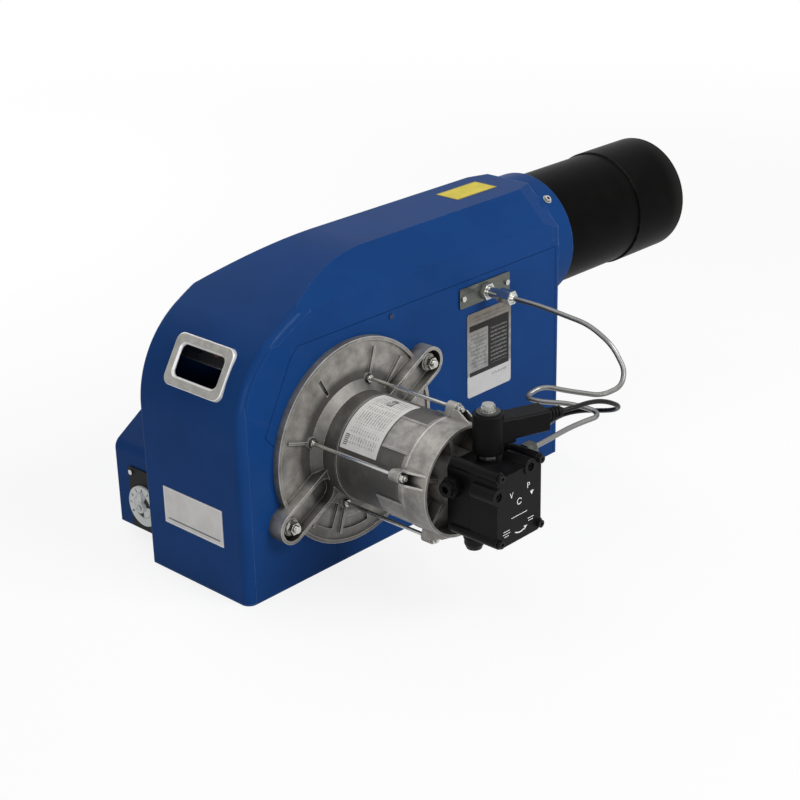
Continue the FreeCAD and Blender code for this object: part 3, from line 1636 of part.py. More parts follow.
def make_box():
    """Folded intake box on the housing's other side, open towards the housing and at its mouth below."""
    outer = fold_rounded(prism_xz(box_profile(0), far_side, box_outer), box_fold_radius)
    inner = fold_rounded(prism_xz(box_profile(sheet), far_side - 1, box_outer - sheet), box_fold_radius - sheet)
    shell = outer.cut(inner)
    corner = [e for e in shell.Edges if e.CenterOfMass.y > box_outer - 0.01
              and isinstance(e.Curve, Part.Line) and e.CenterOfMass.x < -box_back + 0.01]
    shell = shell.makeFillet(sheet * 0.9, corner)
    mouth_hole = block(-box_back + mouth_margin, box_front - mouth_margin, damper_y - flap_half - throat_gap,
                       damper_y + flap_half + throat_gap, box_bottom - 1, box_bottom + sheet + 1)
    shell = shell.cut(mouth_hole)
    rim = prism_xz(box_profile(0), far_side - 1, far_side + box_flange)
    flange = prism_xz(box_profile(-box_flange), far_side, far_side + sheet).cut(rim)
    low = block(-2 * box_back, 2 * box_front, far_side - 1, far_side + box_flange, -box_top, 2 * sheet)
    shell = shell.fuse(flange.cut(low))
    hole = rod(spindle_radius + spindle_room, (-box_back - 1, damper_y, damper_z),
               (box_front + 1, damper_y, damper_z))
    return shell.cut(hole)


def make_throat():
    """Four upright walls that guide the air past the flap."""
    x0 = -box_back + mouth_margin
    x1 = box_front - mouth_margin
    half = flap_half + throat_gap
    z0 = box_bottom + sheet
    z1 = z0 + throat_rise
    walls = [
        block(x0 - sheet, x1 + sheet, damper_y - half - sheet, damper_y - half, z0, z1),
        block(x0 - sheet, x1 + sheet, damper_y + half, damper_y + half + sheet, z0, z1),
        block(x0 - sheet, x0, damper_y - half - sheet, damper_y + half + sheet, z0, z1),
        block(x1, x1 + sheet, damper_y - half - sheet, damper_y + half + sheet, z0, z1),
    ]
    body = fused(*walls)
    hole = rod(spindle_radius + RUNNING, (x0 - 5, damper_y, damper_z), (x1 + 5, damper_y, damper_z))
    return body.cut(hole)


def make_damper():
    """Air flap on its spindle, with the scale dial and the pointer knob outside the box."""
    x0 = -box_back + mouth_margin
    x1 = box_front - mouth_margin
    dial_start = -box_back - dial_plate_sheet - dial_gap
    knob_start = dial_start - dial_thick
    spindle_end = -box_back - dial_plate_sheet - dial_thick - spindle_tail
    spindle = rod(spindle_radius, (spindle_end, damper_y, damper_z),
                  (box_front - spindle_short, damper_y, damper_z))
    flap = block(x0 + flap_margin, x1 - flap_margin, damper_y - flap_half, damper_y + flap_half,
                 damper_z - flap_half_sheet, damper_z + flap_half_sheet).cut(spindle)
    dial = rod(dial_radius, (dial_start, damper_y, damper_z), (knob_start, damper_y, damper_z)).cut(spindle)
    knob = rod(knob_radius, (knob_start, damper_y, damper_z), (knob_start - knob_height, damper_y, damper_z))
    pointer = block(knob_start - pointer_height, knob_start, damper_y - pointer_half, damper_y + pointer_half,
                    damper_z, damper_z + pointer_reach)
    knob = fused(knob, pointer).cut(spindle)
    return spindle, flap, dial, knob


def make_dial_plate():
    x = -box_back
    outside = x - dial_plate_sheet
    low = box_bottom + dial_plate_low
    high = box_bottom + dial_plate_high
    plate = block(outside, x, damper_y - dial_plate_half, damper_y + dial_plate_half, low, high)
    plate = round_along(plate, vec(1, 0, 0), bracket_corner)
    hole = rod(spindle_radius + RUNNING, (outside - 1, damper_y, damper_z), (x + 1, damper_y, damper_z))
    return plate.cut(hole)


def make_dial_screws():
    x = -box_back - dial_plate_sheet
    z = box_bottom + dial_screw_height
    screws = []
    for hand in (-1, 1):
        y = damper_y + hand * dial_screw_side
        screws.append(rod(dial_screw, (x, y, z), (x - dial_plate_sheet, y, z)))
    return screws


# Electrical pieces inside the housing

def shelf_span():
    start = control_x - (shelf_length - control_length) / 2
    return start, start + shelf_length


def make_shelf():
    y0 = -side + 3 * sheet
    y1 = far_side - sheet
    x0, x1 = shelf_span()
    plate = block(x0, x1, y0, y1, shelf_height, shelf_top)
    tab = block(x0, x1, y1 - sheet, y1, shelf_height - tab_drop, shelf_height)
    return plate.fuse(tab).removeSplitter()


def make_control():
    """Flame control: a base, a cover with rounded corners and a reset button that faces the window."""
    x0 = control_x
    half = control_width / 2
    step = shelf_top + base_height
    base = block(x0, x0 + control_length, -half, half, shelf_top, step)
    cover = block(x0 + 1, x0 + control_length - 1, 1 - half, half - 1, step, shelf_top + control_height)
    cover = round_along(cover, vec(0, 0, 1), control_corner)
    z = shelf_top + button_height
    room = button_depth + button_travel + 2
    hole = rod(button_radius + SLIDING, (x0, window_offset, z), (x0 + room, window_offset, z))
    tip = x0 - button_proud
    button = rod(button_radius, (x0 + button_depth, window_offset, z), (tip, window_offset, z))
    button = button.makeFillet(1.0, [e for e in button.Edges if e.CenterOfMass.x < tip + 0.01])
    return base, cover.cut(hole), button


def make_transformer():
    """Ignition transformer on the floor of the housing, with two insulated posts."""
    x = front - transformer_from_front
    top = sheet + transformer_height
    half = transformer_width / 2
    body = block(x - transformer_length / 2, x + transformer_length / 2, -half, half, sheet, top)
    body = round_along(body, vec(0, 0, 1), transformer_corner)
    waist = post_height - 3
    post = [(0, 0), (post_radius, 0), (post_radius - 2, waist - 1), (post_radius / 2, waist),
            (post_radius / 2, post_height), (0, post_height)]
    posts = [turned(post, (x, hand * post_spacing / 2, top), (0, 0, 1)) for hand in (-1, 1)]
    return fused(body, *posts)


def build():
    wrap, motor_side, inlet_side, base, front_panel = make_housing()
    cover = make_side_cover()
    collar_screws = group(make_collar_screws())
    screws = make_bracket_screws() + make_dial_screws() + [cover_screw()]
    x, _, z = at_motor(arm_reach, arm_angle + 180, 0)
    stud_hole = rod(stud_radius + stud_room, (x, -side - 1, z), (x, -side + 2 * sheet, z))
    write("housing_wrap", wrap)
    write("motor_side_panel", motor_side.cut(stud_hole))
    write("inlet_side_panel", inlet_side)
    write("base_panel", base)
    write("front_panel", front_panel.cut(collar_screws))
    write("side_cover", cover)
    write("window_bezel", make_bezel())
    write("housing_screws", group(collar_screws.Solids + screws))

    write("blast_tube", make_tube())
    write("end_sleeve", make_sleeve())
    write("flame_disc", make_disc())
    write("nozzle_line", swept(nozzle_line_points(), line_radius, [16.0] * 4))
    write("nozzle", make_holder().fuse(make_nozzle()).removeSplitter())
    ceramics, tips = make_electrodes()
    sensor, clip = make_flame_sensor()
    write("head_brackets", group([make_disc_bracket(), make_electrode_clamp(), clip]))
    write("electrode_ceramics", group(ceramics))
    write("electrode_rods", group(tips))
    write("flame_sensor", sensor)

    write("fan_scroll", make_scroll())
    write("scroll_plate", make_scroll_plate())
    write("fan_wheel", make_fan())

    write("motor_flange", make_flange())
    shell, core, windings, rotor = make_stator()
    write("stator_shell", shell)
    write("stator_core", core)
    write("stator_windings", group(windings))
    write("rotor_core", rotor)
    clamp_screws = make_clamp_screws()
    write("end_shield", make_shield().cut(group(clamp_screws)))
    rods, nuts = make_tie_rods()
    write("tie_rods", group(rods + nuts))
    write("motor_bearings", group(make_bearings()))
    pump_shaft = disc(pump_shaft_radius, shield_end + shaft_reach, pump_split + 10)
    write("motor_shaft", make_shaft().fuse(pump_shaft))
    write("shaft_coupling", make_coupling())
    write("motor_label", make_motor_label())
    studs, washers, nuts = make_studs()
    write("flange_studs", group(studs + washers + nuts))

    write("pump_body", make_pump_body())
    write("pump_cover", make_pump_cover())
    write("pump_screws", group(make_pump_screws() + clamp_screws))
    write("pump_plugs", group(make_port_plugs() + [make_drain_plug()]))
    write("suction_adapter", make_inlet_adapter())
    write("outlet_fitting", make_outlet_fitting())

    write("valve_stem", make_stem())
    write("valve_coil", make_coil())
    write("coil_nut", make_coil_nut())
    write("valve_plug", connector_block(connector_start, connector_reach, 0, connector_height))
    write("cable_boot", make_boot())
    write("valve_plunger", make_plunger())
    write("valve_cable", swept(cable_points(), cable_radius))
    write("cable_gland", make_gland())
    write("fuel_pipe", swept(pipe_points(), pipe_radius))
    write("line_bracket", make_line_bracket())
    write("line_fitting", make_line_fitting())
    write("data_plate", make_data_plate())
    write("back_plate", make_back_plate())
    write("top_label", make_top_label())

    write("air_box", make_box().fuse(make_throat()).removeSplitter())
    write("dial_plate", make_dial_plate())
    spindle, flap, dial, knob = make_damper()
    write("damper_flap", spindle.fuse(flap).removeSplitter())
    write("damper_dial", dial.fuse(knob).removeSplitter())

    control_base, control_cover, button = make_control()
    write("control_shelf", make_shelf())
    write("control_box", group([control_base, control_cover]))
    write("reset_button", button)
    write("ignition_transformer", make_transformer())


build()
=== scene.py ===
"""Looks, light and camera of a single-stage diesel burner, laid out as a small Blender add-on.

Lengths are metres in the frame of the packed model: +X is the firing direction, +Z is up, the motor is on -Y.
"""
import math

import bpy
from bpy.props import FloatProperty, FloatVectorProperty, IntProperty, PointerProperty
from mathutils import Matrix, Vector


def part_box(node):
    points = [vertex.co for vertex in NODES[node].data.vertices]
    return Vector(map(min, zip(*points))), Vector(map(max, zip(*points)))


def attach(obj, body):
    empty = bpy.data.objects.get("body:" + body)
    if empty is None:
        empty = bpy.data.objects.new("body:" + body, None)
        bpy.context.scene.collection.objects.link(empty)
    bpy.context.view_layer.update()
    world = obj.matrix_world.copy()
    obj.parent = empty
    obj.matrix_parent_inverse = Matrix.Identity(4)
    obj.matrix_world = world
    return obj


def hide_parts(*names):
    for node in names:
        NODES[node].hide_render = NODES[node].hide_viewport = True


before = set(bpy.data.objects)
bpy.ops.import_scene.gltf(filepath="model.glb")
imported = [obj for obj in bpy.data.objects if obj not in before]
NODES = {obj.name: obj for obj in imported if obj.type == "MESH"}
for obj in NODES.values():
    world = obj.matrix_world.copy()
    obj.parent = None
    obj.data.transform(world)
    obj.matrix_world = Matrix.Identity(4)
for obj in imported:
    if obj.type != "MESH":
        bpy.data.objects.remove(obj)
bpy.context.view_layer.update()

bl_info = {
    "name": "Diesel burner",
    "version": (1, 0, 0),
    "blender": (4, 5, 0),
    "location": "3D View > Sidebar > Burner",
    "description": "Gives the packed burner its finishes, cable, prints, threads, light and camera",
    "category": "Object",
}

# The motor's axis, and the lowest and highest corners of nodes that place prints, threads, stains, painted
# shade and painted highlights
motor_axis = Vector((0.0, 0.0, 0.149))
shell_low, shell_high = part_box("stator_shell")
label_low, label_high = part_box("motor_label")
rods_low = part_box("tie_rods")[0]
studs_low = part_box("flange_studs")[0]
plate_low, plate_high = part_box("data_plate")
rear_low, rear_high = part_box("back_plate")
top_low, top_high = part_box("top_label")
nut_low, nut_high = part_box("coil_nut")
dial_low, dial_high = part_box("damper_dial")
cover_low, cover_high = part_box("pump_cover")
tube_low, tube_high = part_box("blast_tube")
sleeve_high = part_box("end_sleeve")[1]
panel_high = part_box("front_panel")[1]

# The weld sits where the collar meets the front panel, a little proud of it
collar_length = 0.030
weld_lift = 0.0004
collar_foot = Vector((panel_high[0] - collar_length + weld_lift, 0.0, (tube_low[2] + tube_high[2]) / 2))
collar_radius = panel_high[2] - collar_foot[2]

WHITE = (1.0, 1.0, 1.0)

# The middle of a printed mark stands off its face by this share of the mark's thickness
MARK_LIFT = 0.4


# Sizes and colours that a user would change

def colour(name, description, default):
    return FloatVectorProperty(name=name, description=description, default=default, size=3, min=0.0, max=1.0,
                               subtype="COLOR_GAMMA")


def metres(name, description, default, most):
    return FloatProperty(name=name, description=description, default=default, min=0.0, max=most, precision=6,
                         unit="LENGTH")


def watts(name, description, default):
    return FloatProperty(name=name, description=description, default=default, min=0.0, unit="POWER")


def share(name, description, default):
    return FloatProperty(name=name, description=description, default=default, min=0.0, max=1.0,
                         subtype="FACTOR")


class BurnerPaint(bpy.types.PropertyGroup):
    """Colours of the painted and black pieces, and the paint's surface."""
    housing: colour("Housing", "Blue of the folded housing", (0.0060, 0.0405, 0.158))
    tube: colour("Tube", "Black of the blast tube", (0.0018, 0.0018, 0.0017))
    pump: colour("Pump", "Black of the oil pump", (0.0034, 0.0034, 0.0036))
    plastic: colour("Plastic", "Black of the valve coil and its plug", (0.0028, 0.0028, 0.0030))
    orange_peel: metres("Orange peel", "Depth of the paint's orange peel", 0.00002, 0.001)
    # Share of the edges in the edge shade: a painted highlight on the housing, darker joints on the cover
    chips: share("Chips", "Share of an edge that is rubbed", 0.35)


class BurnerMetal(bpy.types.PropertyGroup):
    """Colours of the metal pieces, and the castings' grain."""
    casting: colour("Casting", "Grey of the cast flange and end shield", (0.345, 0.330, 0.305))
    zinc: colour("Zinc", "Plating of the screws, rods, coil nut and fitting", (0.56, 0.56, 0.53))
    pipe: colour("Pipe", "Drawn steel of the fuel pipe", (0.21, 0.21, 0.205))
    shell: colour("Shell", "Paint of the motor's shell", (0.040, 0.038, 0.034))
    bezel: colour("Bezel", "Pressed frame of the sight window", (0.36, 0.35, 0.325))
    grain: metres("Casting grain", "Size of the grain on the castings", 0.0016, 0.01)


class BurnerPrint(bpy.types.PropertyGroup):
    """Colours of the plates and labels, and the thickness of the marks."""
    label: colour("Label", "Paper of the motor label", (0.74, 0.725, 0.69))
    plate: colour("Data plate", "Brushed sheet of the data plate", (0.31, 0.31, 0.305))
    rear: colour("Rear plate", "Face of the plate on the back", (0.60, 0.59, 0.58))
    top_label: colour("Top label", "Plain label on the top", (0.62, 0.50, 0.020))
    ink: colour("Ink", "Dark print", (0.016, 0.016, 0.016))
    mark_thickness: metres("Print thickness", "Thickness of the raised marks", 0.00012, 0.001)


class BurnerCable(bpy.types.PropertyGroup):
    """Sizes of the valve cable."""
    radius: metres("Cable radius", "Half the cable's diameter", 0.00275, 0.01)
    length: metres("Cable length", "Length from the boot to the gland", 0.390, 2.0)


class BurnerThreads(bpy.types.PropertyGroup):
    """Sizes of the threads on the motor's rods and studs."""
    rod_radius: metres("Rod radius", "Radius of the tie rods", 0.0023, 0.01)
    rod_pitch: metres("Rod pitch", "Pitch of the tie rods' thread", 0.0008, 0.004)
    stud_radius: metres("Stud radius", "Radius of the flange studs", 0.004, 0.01)
    stud_pitch: metres("Stud pitch", "Pitch of the studs' thread", 0.00125, 0.004)


class BurnerWeld(bpy.types.PropertyGroup):
    """Sizes of the weld round the collar's foot."""
    count: IntProperty(name="Ripples", description="Ripples of the weld in a full turn", default=210, min=12,
                       max=600)
    size: metres("Ripple size", "Radius of one ripple", 0.0013, 0.005)
    seed: IntProperty(name="Seed", description="Seed of the ripples' sizes", default=7, min=0, max=999)


class BurnerStage(bpy.types.PropertyGroup):
    """Light, floor and camera."""
    sky: FloatProperty(name="Sky", description="Strength of the even studio light", default=0.25, min=0.0)
    key: watts("Key light", "Power of the soft light on the motor's side", 46.0)
    top: watts("Top light", "Power of the soft light above", 7.0)
    fill: watts("Fill light", "Power of the soft light behind the burner", 12.0)
    far: watts("Far light", "Power of the soft light on the air box's side", 26.0)
    white: share("White", "Share of plain white in the floor as the camera sees it", 0.84)
    floor: colour("Floor", "Pale floor", (0.9, 0.9, 0.9))
    lens: FloatProperty(name="Lens", description="Focal length on a 36 mm sensor", default=78.17, min=10.0)


GROUPS = {
    "burner_paint": BurnerPaint,
    "burner_metal": BurnerMetal,
    "burner_print": BurnerPrint,
    "burner_cable": BurnerCable,
    "burner_threads": BurnerThreads,
    "burner_weld": BurnerWeld,
    "burner_stage": BurnerStage,
}


# Node trees

class Value:
    """A number socket of a shader tree. Python's operators on it add Math nodes."""

    def __init__(self, nodes, socket):
        self.nodes = nodes
        self.socket = socket

    def __abs__(self):
        return self.nodes.maths("ABSOLUTE", self)

    def __gt__(self, other):
        return self.nodes.maths("GREATER_THAN", self, other)

    def __lt__(self, other):
        return self.nodes.maths("LESS_THAN", self, other)

    def between(self, low, high):
        """1 between two limits and 0 elsewhere."""
        return (self > low) * (self < high)

    def eased(self, low, high):
        """0 below low, 1 above high, smooth between them."""
        node = self.nodes.node("ShaderNodeMapRange", {"interpolation_type": "SMOOTHSTEP"},
                               {"Value": self, "From Min": low, "From Max": high})
        return Value(self.nodes, node.outputs["Result"])


def overload(name, operation):
    """Gives Value one of Python's operators, with its reflected form."""
    setattr(Value, f"__{name}__", lambda self, other: self.nodes.maths(operation, self, other))
    setattr(Value, f"__r{name}__", lambda self, other: self.nodes.maths(operation, other, self))


for python_name, node_name in (("add", "ADD"), ("sub", "SUBTRACT"), ("mul", "MULTIPLY"),
                               ("truediv", "DIVIDE"), ("pow", "POWER"), ("mod", "FLOORED_MODULO")):
    overload(python_name, node_name)


class NodeTree:
    """A node tree in the making."""

    def __init__(self, tree):
        self.tree = tree

    def node(self, kind, settings=None, values=None):
        """A node of a type, with its settings and then the values or links of its sockets."""
        made = self.tree.nodes.new(kind)
        for key, setting in (settings or {}).items():
            if key == "stops":
                self.set_stops(made.color_ramp.elements, setting)
            else:
                setattr(made, key, setting)
        for key, value in (values or {}).items():
            self.join(value, made.inputs[key])
        return made

    @staticmethod
    def set_stops(elements, stops):
        while len(elements) < len(stops):
            elements.new(1.0)
        for element, (position, shade) in zip(elements, stops):
            element.position = position
            element.color = (*shade, 1.0)

    def join(self, value, entry):
        """Gives a socket a value, or links another socket to it."""
        if isinstance(value, Value):
            value = value.socket
        if isinstance(value, bpy.types.NodeSocket):
            self.tree.links.new(value, entry)
        elif entry.type == "RGBA" and len(value) == 3:
            entry.default_value = (*value, 1.0)
        else:
            entry.default_value = value

    def maths(self, operation, *values):
        made = self.node("ShaderNodeMath", {"operation": operation}, dict(enumerate(values)))
        return Value(self, made.outputs[0])

    def end(self, factor, first, second, last):
        """Mixes two shaders and links the mix to the tree's last node."""
        mix = self.node("ShaderNodeMixShader", {}, {0: factor, 1: first.outputs[0], 2: second.outputs[0]})
        self.join(mix.outputs[0], self.tree.nodes[last].inputs["Surface"])


class Finish(NodeTree):
    """One material in the making."""

    def __init__(self, name):
        self.material = bpy.data.materials.new(name)
        self.material.use_nodes = True
        super().__init__(self.material.node_tree)
        self.shader = self.tree.nodes["Principled BSDF"]
        self.place = self.node("ShaderNodeTexCoord").outputs["Object"]

    def dot(self, first, second):
        made = self.node("ShaderNodeVectorMath", {"operation": "DOT_PRODUCT"}, {0: first, 1: second})
        return Value(self, made.outputs["Value"])

    def axes(self, place=None):
        split = self.node("ShaderNodeSeparateXYZ", {}, {0: place or self.place})
        return [Value(self, out) for out in split.outputs]

    def stretched(self, scale):
        """The object's coordinates, scaled along each axis."""
        return self.node("ShaderNodeMapping", {}, {"Vector": self.place, "Scale": scale}).outputs[0]

    def noise(self, size, detail=3.0, roughness=0.5, place=None):
        """Soft noise with features of about that size in metres."""
        values = {"Vector": place or self.place, "Scale": 1.0 / size, "Detail": detail,
                  "Roughness": roughness}
        return Value(self, self.node("ShaderNodeTexNoise", {}, values).outputs["Fac"])

    def cells(self, size, randomness=1.0):
        """Distance to the nearest of many scattered points."""
        values = {"Vector": self.place, "Scale": 1.0 / size, "Randomness": randomness}
        return Value(self, self.node("ShaderNodeTexVoronoi", {}, values).outputs["Distance"])

    def ramp(self, value, *stops):
        return self.node("ShaderNodeValToRGB", {"stops": stops}, {0: value}).outputs["Color"]

    def blend(self, factor, first, second):
        """Colour between two colours."""
        made = self.node("ShaderNodeMix", {"data_type": "RGBA"}, {0: factor, 6: first, 7: second})
        return made.outputs[2]

    def tones(self, value, low, high, shade, dark, light):
        """A shade that goes from one strength to another as a value goes from low to high."""
        return self.blend(value.eased(low, high), scaled(shade, dark), scaled(shade, light))

    def normal(self, kind="Normal"):
        return self.node("ShaderNodeNewGeometry").outputs[kind]

    def rounded(self, radius):
        """Normals over edges that are rounded by a radius."""
        return self.node("ShaderNodeBevel", {"samples": 6}, {"Radius": radius}).outputs[0]

    def edges(self, radius):
        """1 along sharp outer and inner edges, 0 on flat ground."""
        return (1.0 - self.dot(self.rounded(radius), self.normal())) * 6.0

    def hollows(self, reach):
        """1 in the open, falling towards 0 in deep corners."""
        made = self.node("ShaderNodeAmbientOcclusion", {"samples": 8}, {"Distance": reach})
        return Value(self, made.outputs["AO"])

    def underside(self, low, high):
        """1 on faces that look down, 0 on faces that look up."""
        return 1.0 - self.axes(self.normal())[2].eased(low, high)

    def set(self, **values):
        """Sets or links the shader's own sockets, such as Base_Color."""
        for key, value in values.items():
            self.join(value, self.shader.inputs[key.replace("_", " ")])

    def relief(self, height, depth, strength=1.0, edge=None):
        """Bump of a height from 0 to 1, over edges that are rounded by a small radius."""
        values = {"Height": height, "Distance": depth, "Strength": strength}
        if edge:
            values["Normal"] = self.rounded(edge)
        self.join(self.node("ShaderNodeBump", {}, values).outputs[0], self.shader.inputs["Normal"])
        return self


def scaled(shade, factor):
    return tuple(min(1.0, part * factor) for part in shade)


def lighter(shade, amount):
    return tuple(part + (1.0 - part) * amount for part in shade)


def distance(first, second):
    """Distance from an axis, of which two Values are the offsets."""
    return (first * first + second * second) ** 0.5


def wear(finish, *names):
    """Puts a finish on CAD nodes or on pieces of the scene."""
    for name in names:
        piece = NODES[name] if isinstance(name, str) else name
        if not piece.material_slots:
            piece.data.materials.append(finish.material)
        for slot in piece.material_slots:
            slot.material = finish.material


# Finishes that several pieces share

def painted(name, shade, peel, chips, edge_mark_strength=0.60, edge_shade=(0.21, 0.33, 0.56)):
    """Sprayed satin paint: orange peel, soft cloudiness, dust, and edges in patches of another shade, by
    default a pale blue painted highlight with some wear.
    """
    finish = Finish(name)
    cloud = finish.noise(0.09, 4.0)
    fine = finish.noise(0.0022)
    specks = finish.noise(0.0011, 2.0)
    patches = finish.noise(0.006, 5.0).eased(0.60 - 0.2 * chips, 0.75)
    # Patches along the edges: a painted highlight of the paint's sheen, and some wear
    sheen_and_wear = finish.edges(0.0014).eased(0.2, 0.8) * (0.35 + patches * 0.65)
    ground = finish.tones(cloud, 0.3, 0.7, shade, 0.93, 1.08)
    dusty = finish.blend(specks.eased(0.64, 0.80) * 0.02, ground, lighter(shade, 0.35))
    finish.set(Base_Color=finish.blend(sheen_and_wear * edge_mark_strength, dusty, edge_shade), Specular_IOR_Level=0.015,
               Roughness=0.34 + fine * 0.08 + cloud * 0.06, Coat_Weight=0.06, Coat_Roughness=0.10)
    return finish.relief(finish.noise(0.0030, 2.0), peel, 1.0, 0.0006)


def black_enamel(name, shade, grain=0.0014, depth=0.00006, low=0.30, gloss=0.08):
    """Black paint over a slightly grainy ground, with a painted highlight in patches along its edges."""
    finish = Finish(name)
    cloud = finish.noise(0.03, 4.0)
    fine = finish.noise(grain)
    # Painted highlight in patches along the edges
    painted_highlight = finish.edges(0.0009).eased(0.35, 1.0) * finish.noise(0.004, 4.0).eased(0.45, 0.7)
    ground = finish.tones(cloud, 0.3, 0.75, shade, 1.0, 1.7)
    finish.set(Base_Color=finish.blend(painted_highlight * 0.6, ground, lighter(shade, 0.09)),
               Roughness=low + fine * 0.12 + cloud * 0.08, Specular_IOR_Level=gloss)
    return finish.relief(fine, depth, 1.0, 0.0006)


def cast_alloy(name, shade, grain):
    """Pressure-cast aluminium: mottled skin, pores and darker patches, painted shade in hollows, on
    undersides, low down and round the neck, and a painted highlight on its edges.
    """
    finish = Finish(name)
    mottle = finish.noise(0.014, 6.0, 0.62)
    fine = finish.noise(grain, 4.0, 0.6)
    pores = finish.cells(0.0035).eased(0.06, 0.16)
    patches = finish.noise(0.045)
    open_sky = finish.hollows(0.026)
    rim = finish.edges(0.0013).eased(0.2, 0.8)
    x, y, z = finish.axes()
    # Painted shade: darker towards the bottom and round the flange's neck
    shade_below = 1.0 - z.eased(motor_axis.z - 0.13, motor_axis.z - 0.03)
    neck = 1.0 - distance(z - motor_axis.z, x).eased(0.080, 0.092)
    neck_shade = neck * y.eased(shell_low[1] + 0.02, shell_high[1])
    skin = finish.ramp(mottle, (0.28, scaled(shade, 0.60)), (0.5, shade), (0.72, scaled(shade, 1.36)))
    low_shade_and_patches = finish.maths("MAXIMUM", shade_below * 0.50, neck_shade * 0.72) + patches.eased(0.48, 0.70) * 0.28
    # Painted shade on faces that look down
    shade_and_patches = finish.maths("MINIMUM", low_shade_and_patches + finish.underside(-0.8, 0.6) * 0.62, 0.90)
    ground = finish.blend(shade_and_patches, skin, scaled(shade, 0.16))
    # Painted shade in the hollows
    hollows_shaded = finish.blend(open_sky.eased(0.22, 0.80), scaled(shade, 0.07), ground)
    spotted = finish.blend((1.0 - pores) * 0.5, hollows_shaded, scaled(shade, 0.45))
    # Painted highlight along the edges
    finish.set(Base_Color=finish.blend(rim * 0.8 * open_sky, spotted, lighter(shade, 0.50)), Metallic=0.62,
               Roughness=0.34 + fine * 0.16 + mottle * 0.10)
    return finish.relief(fine * 0.6 + mottle * 0.4, 0.00022, 0.8, 0.0007)


def plated(name, shade, tint=(0.46, 0.46, 0.41), low=0.17):
    """Zinc plating with faint cloudy tints and painted shade in its corners."""
    finish = Finish(name)
    cloud = finish.noise(0.006, 4.0)
    fine = finish.noise(0.0009)
    open_sky = finish.hollows(0.006)
    toned = finish.blend(cloud.eased(0.42, 0.70) * 0.6, shade, tint)
    # Painted shade in the corners
    finish.set(Base_Color=finish.blend(open_sky.eased(0.25, 0.95), scaled(shade, 0.10), toned), Metallic=0.95,
               Roughness=low + fine * 0.03 + cloud * 0.06)
    return finish.relief(cloud, 0.00003, 0.5, 0.0004)


def brushed(name, shade, along, low, spread=0.15):
    """Metal with fine straight lines in one direction."""
    finish = Finish(name)
    lines = finish.noise(0.020, 5.0, 0.6, finish.stretched(along))
    cloud = finish.noise(0.03)
    finish.set(Base_Color=finish.tones(lines, 0.3, 0.7, shade, 1.0 - spread, 1.0 + spread), Metallic=0.95,
               Roughness=low + lines * spread + cloud * 0.05)
    return finish.relief(lines, 0.0002 * spread, 0.6, 0.0004)


def moulded(name, shade, low=0.42, gloss=0.12, grain=0.0007):
    """Moulded plastic with a fine spark-eroded grain."""
    finish = Finish(name)
    fine = finish.cells(grain)
    cloud = finish.noise(0.02)
    dust = finish.noise(0.0014, 2.0).eased(0.66, 0.78)
    ground = finish.blend(cloud, scaled(shade, 0.85), scaled(shade, 1.2))
    finish.set(Base_Color=finish.blend(dust * 0.02, ground, lighter(shade, 0.3)),
               Roughness=low + fine * 0.10 + cloud * 0.08, Specular_IOR_Level=gloss)
    return finish.relief(fine, 0.00003, 0.8, 0.0005)


# Finishes of single pieces

def screw_finish(zinc, paint):
    """Plated screws, of which the side cover's is painted over with the housing."""
    finish = plated("screw_zinc", zinc)
    x, _, z = finish.axes()
    covered = z.between(0.26, 0.30) * x.between(0.05, 0.09)
    bare = finish.shader.inputs["Base Color"].links[0].from_socket
    finish.set(Base_Color=finish.blend(covered, bare, scaled(paint, 0.5)), Metallic=0.95 - covered * 0.95)
    return finish


def label_finish(paper, ink):
    """Motor label: rows of broken print round the shell, a small block pattern and a bare margin."""
    finish = Finish("motor_label_print")
    x, y, z = finish.axes()
    first_angle, label_angle = math.radians(75.0), math.radians(84.0)
    turn = (finish.maths("ARCTAN2", z - motor_axis.z, x) - first_angle) / label_angle
    run = (label_high[1] - y) / (label_high[1] - label_low[1])
    area = run.between(0.10, 0.90) * turn.between(0.08, 0.92)
    rows = ((run * 15.0) % 1.0).between(0.30, 0.62)
    words = finish.noise(0.0042, 1.0, 0.5, finish.stretched((1.0, 0.001, 1.0))) > 0.47
    strokes = finish.noise(0.0011, 1.0, 0.5) > 0.44
    code_area = run.between(0.40, 0.58) * turn.between(0.08, 0.26)
    code = finish.cells(0.0016, 0.6) > 0.42
    block_area = run.between(0.06, 0.16) * turn.between(0.80, 0.95)
    bars = ((turn * 40.0) % 1.0) > 0.45
    text = area * rows * words * strokes * (1.0 - code_area)
    blocks = finish.maths("MAXIMUM", code_area * code, block_area * bars)
    dark = finish.maths("MAXIMUM", text * 0.78, blocks)
    stain = finish.noise(0.02)
    sheet = finish.tones(stain, 0.3, 0.75, paper, 1.0, 0.86)
    finish.set(Base_Color=finish.blend(dark * 0.85, sheet, ink), Roughness=0.45 + stain * 0.15,
               Specular_IOR_Level=0.25)
    return finish.relief(finish.noise(0.0008, 2.0), 0.00001)


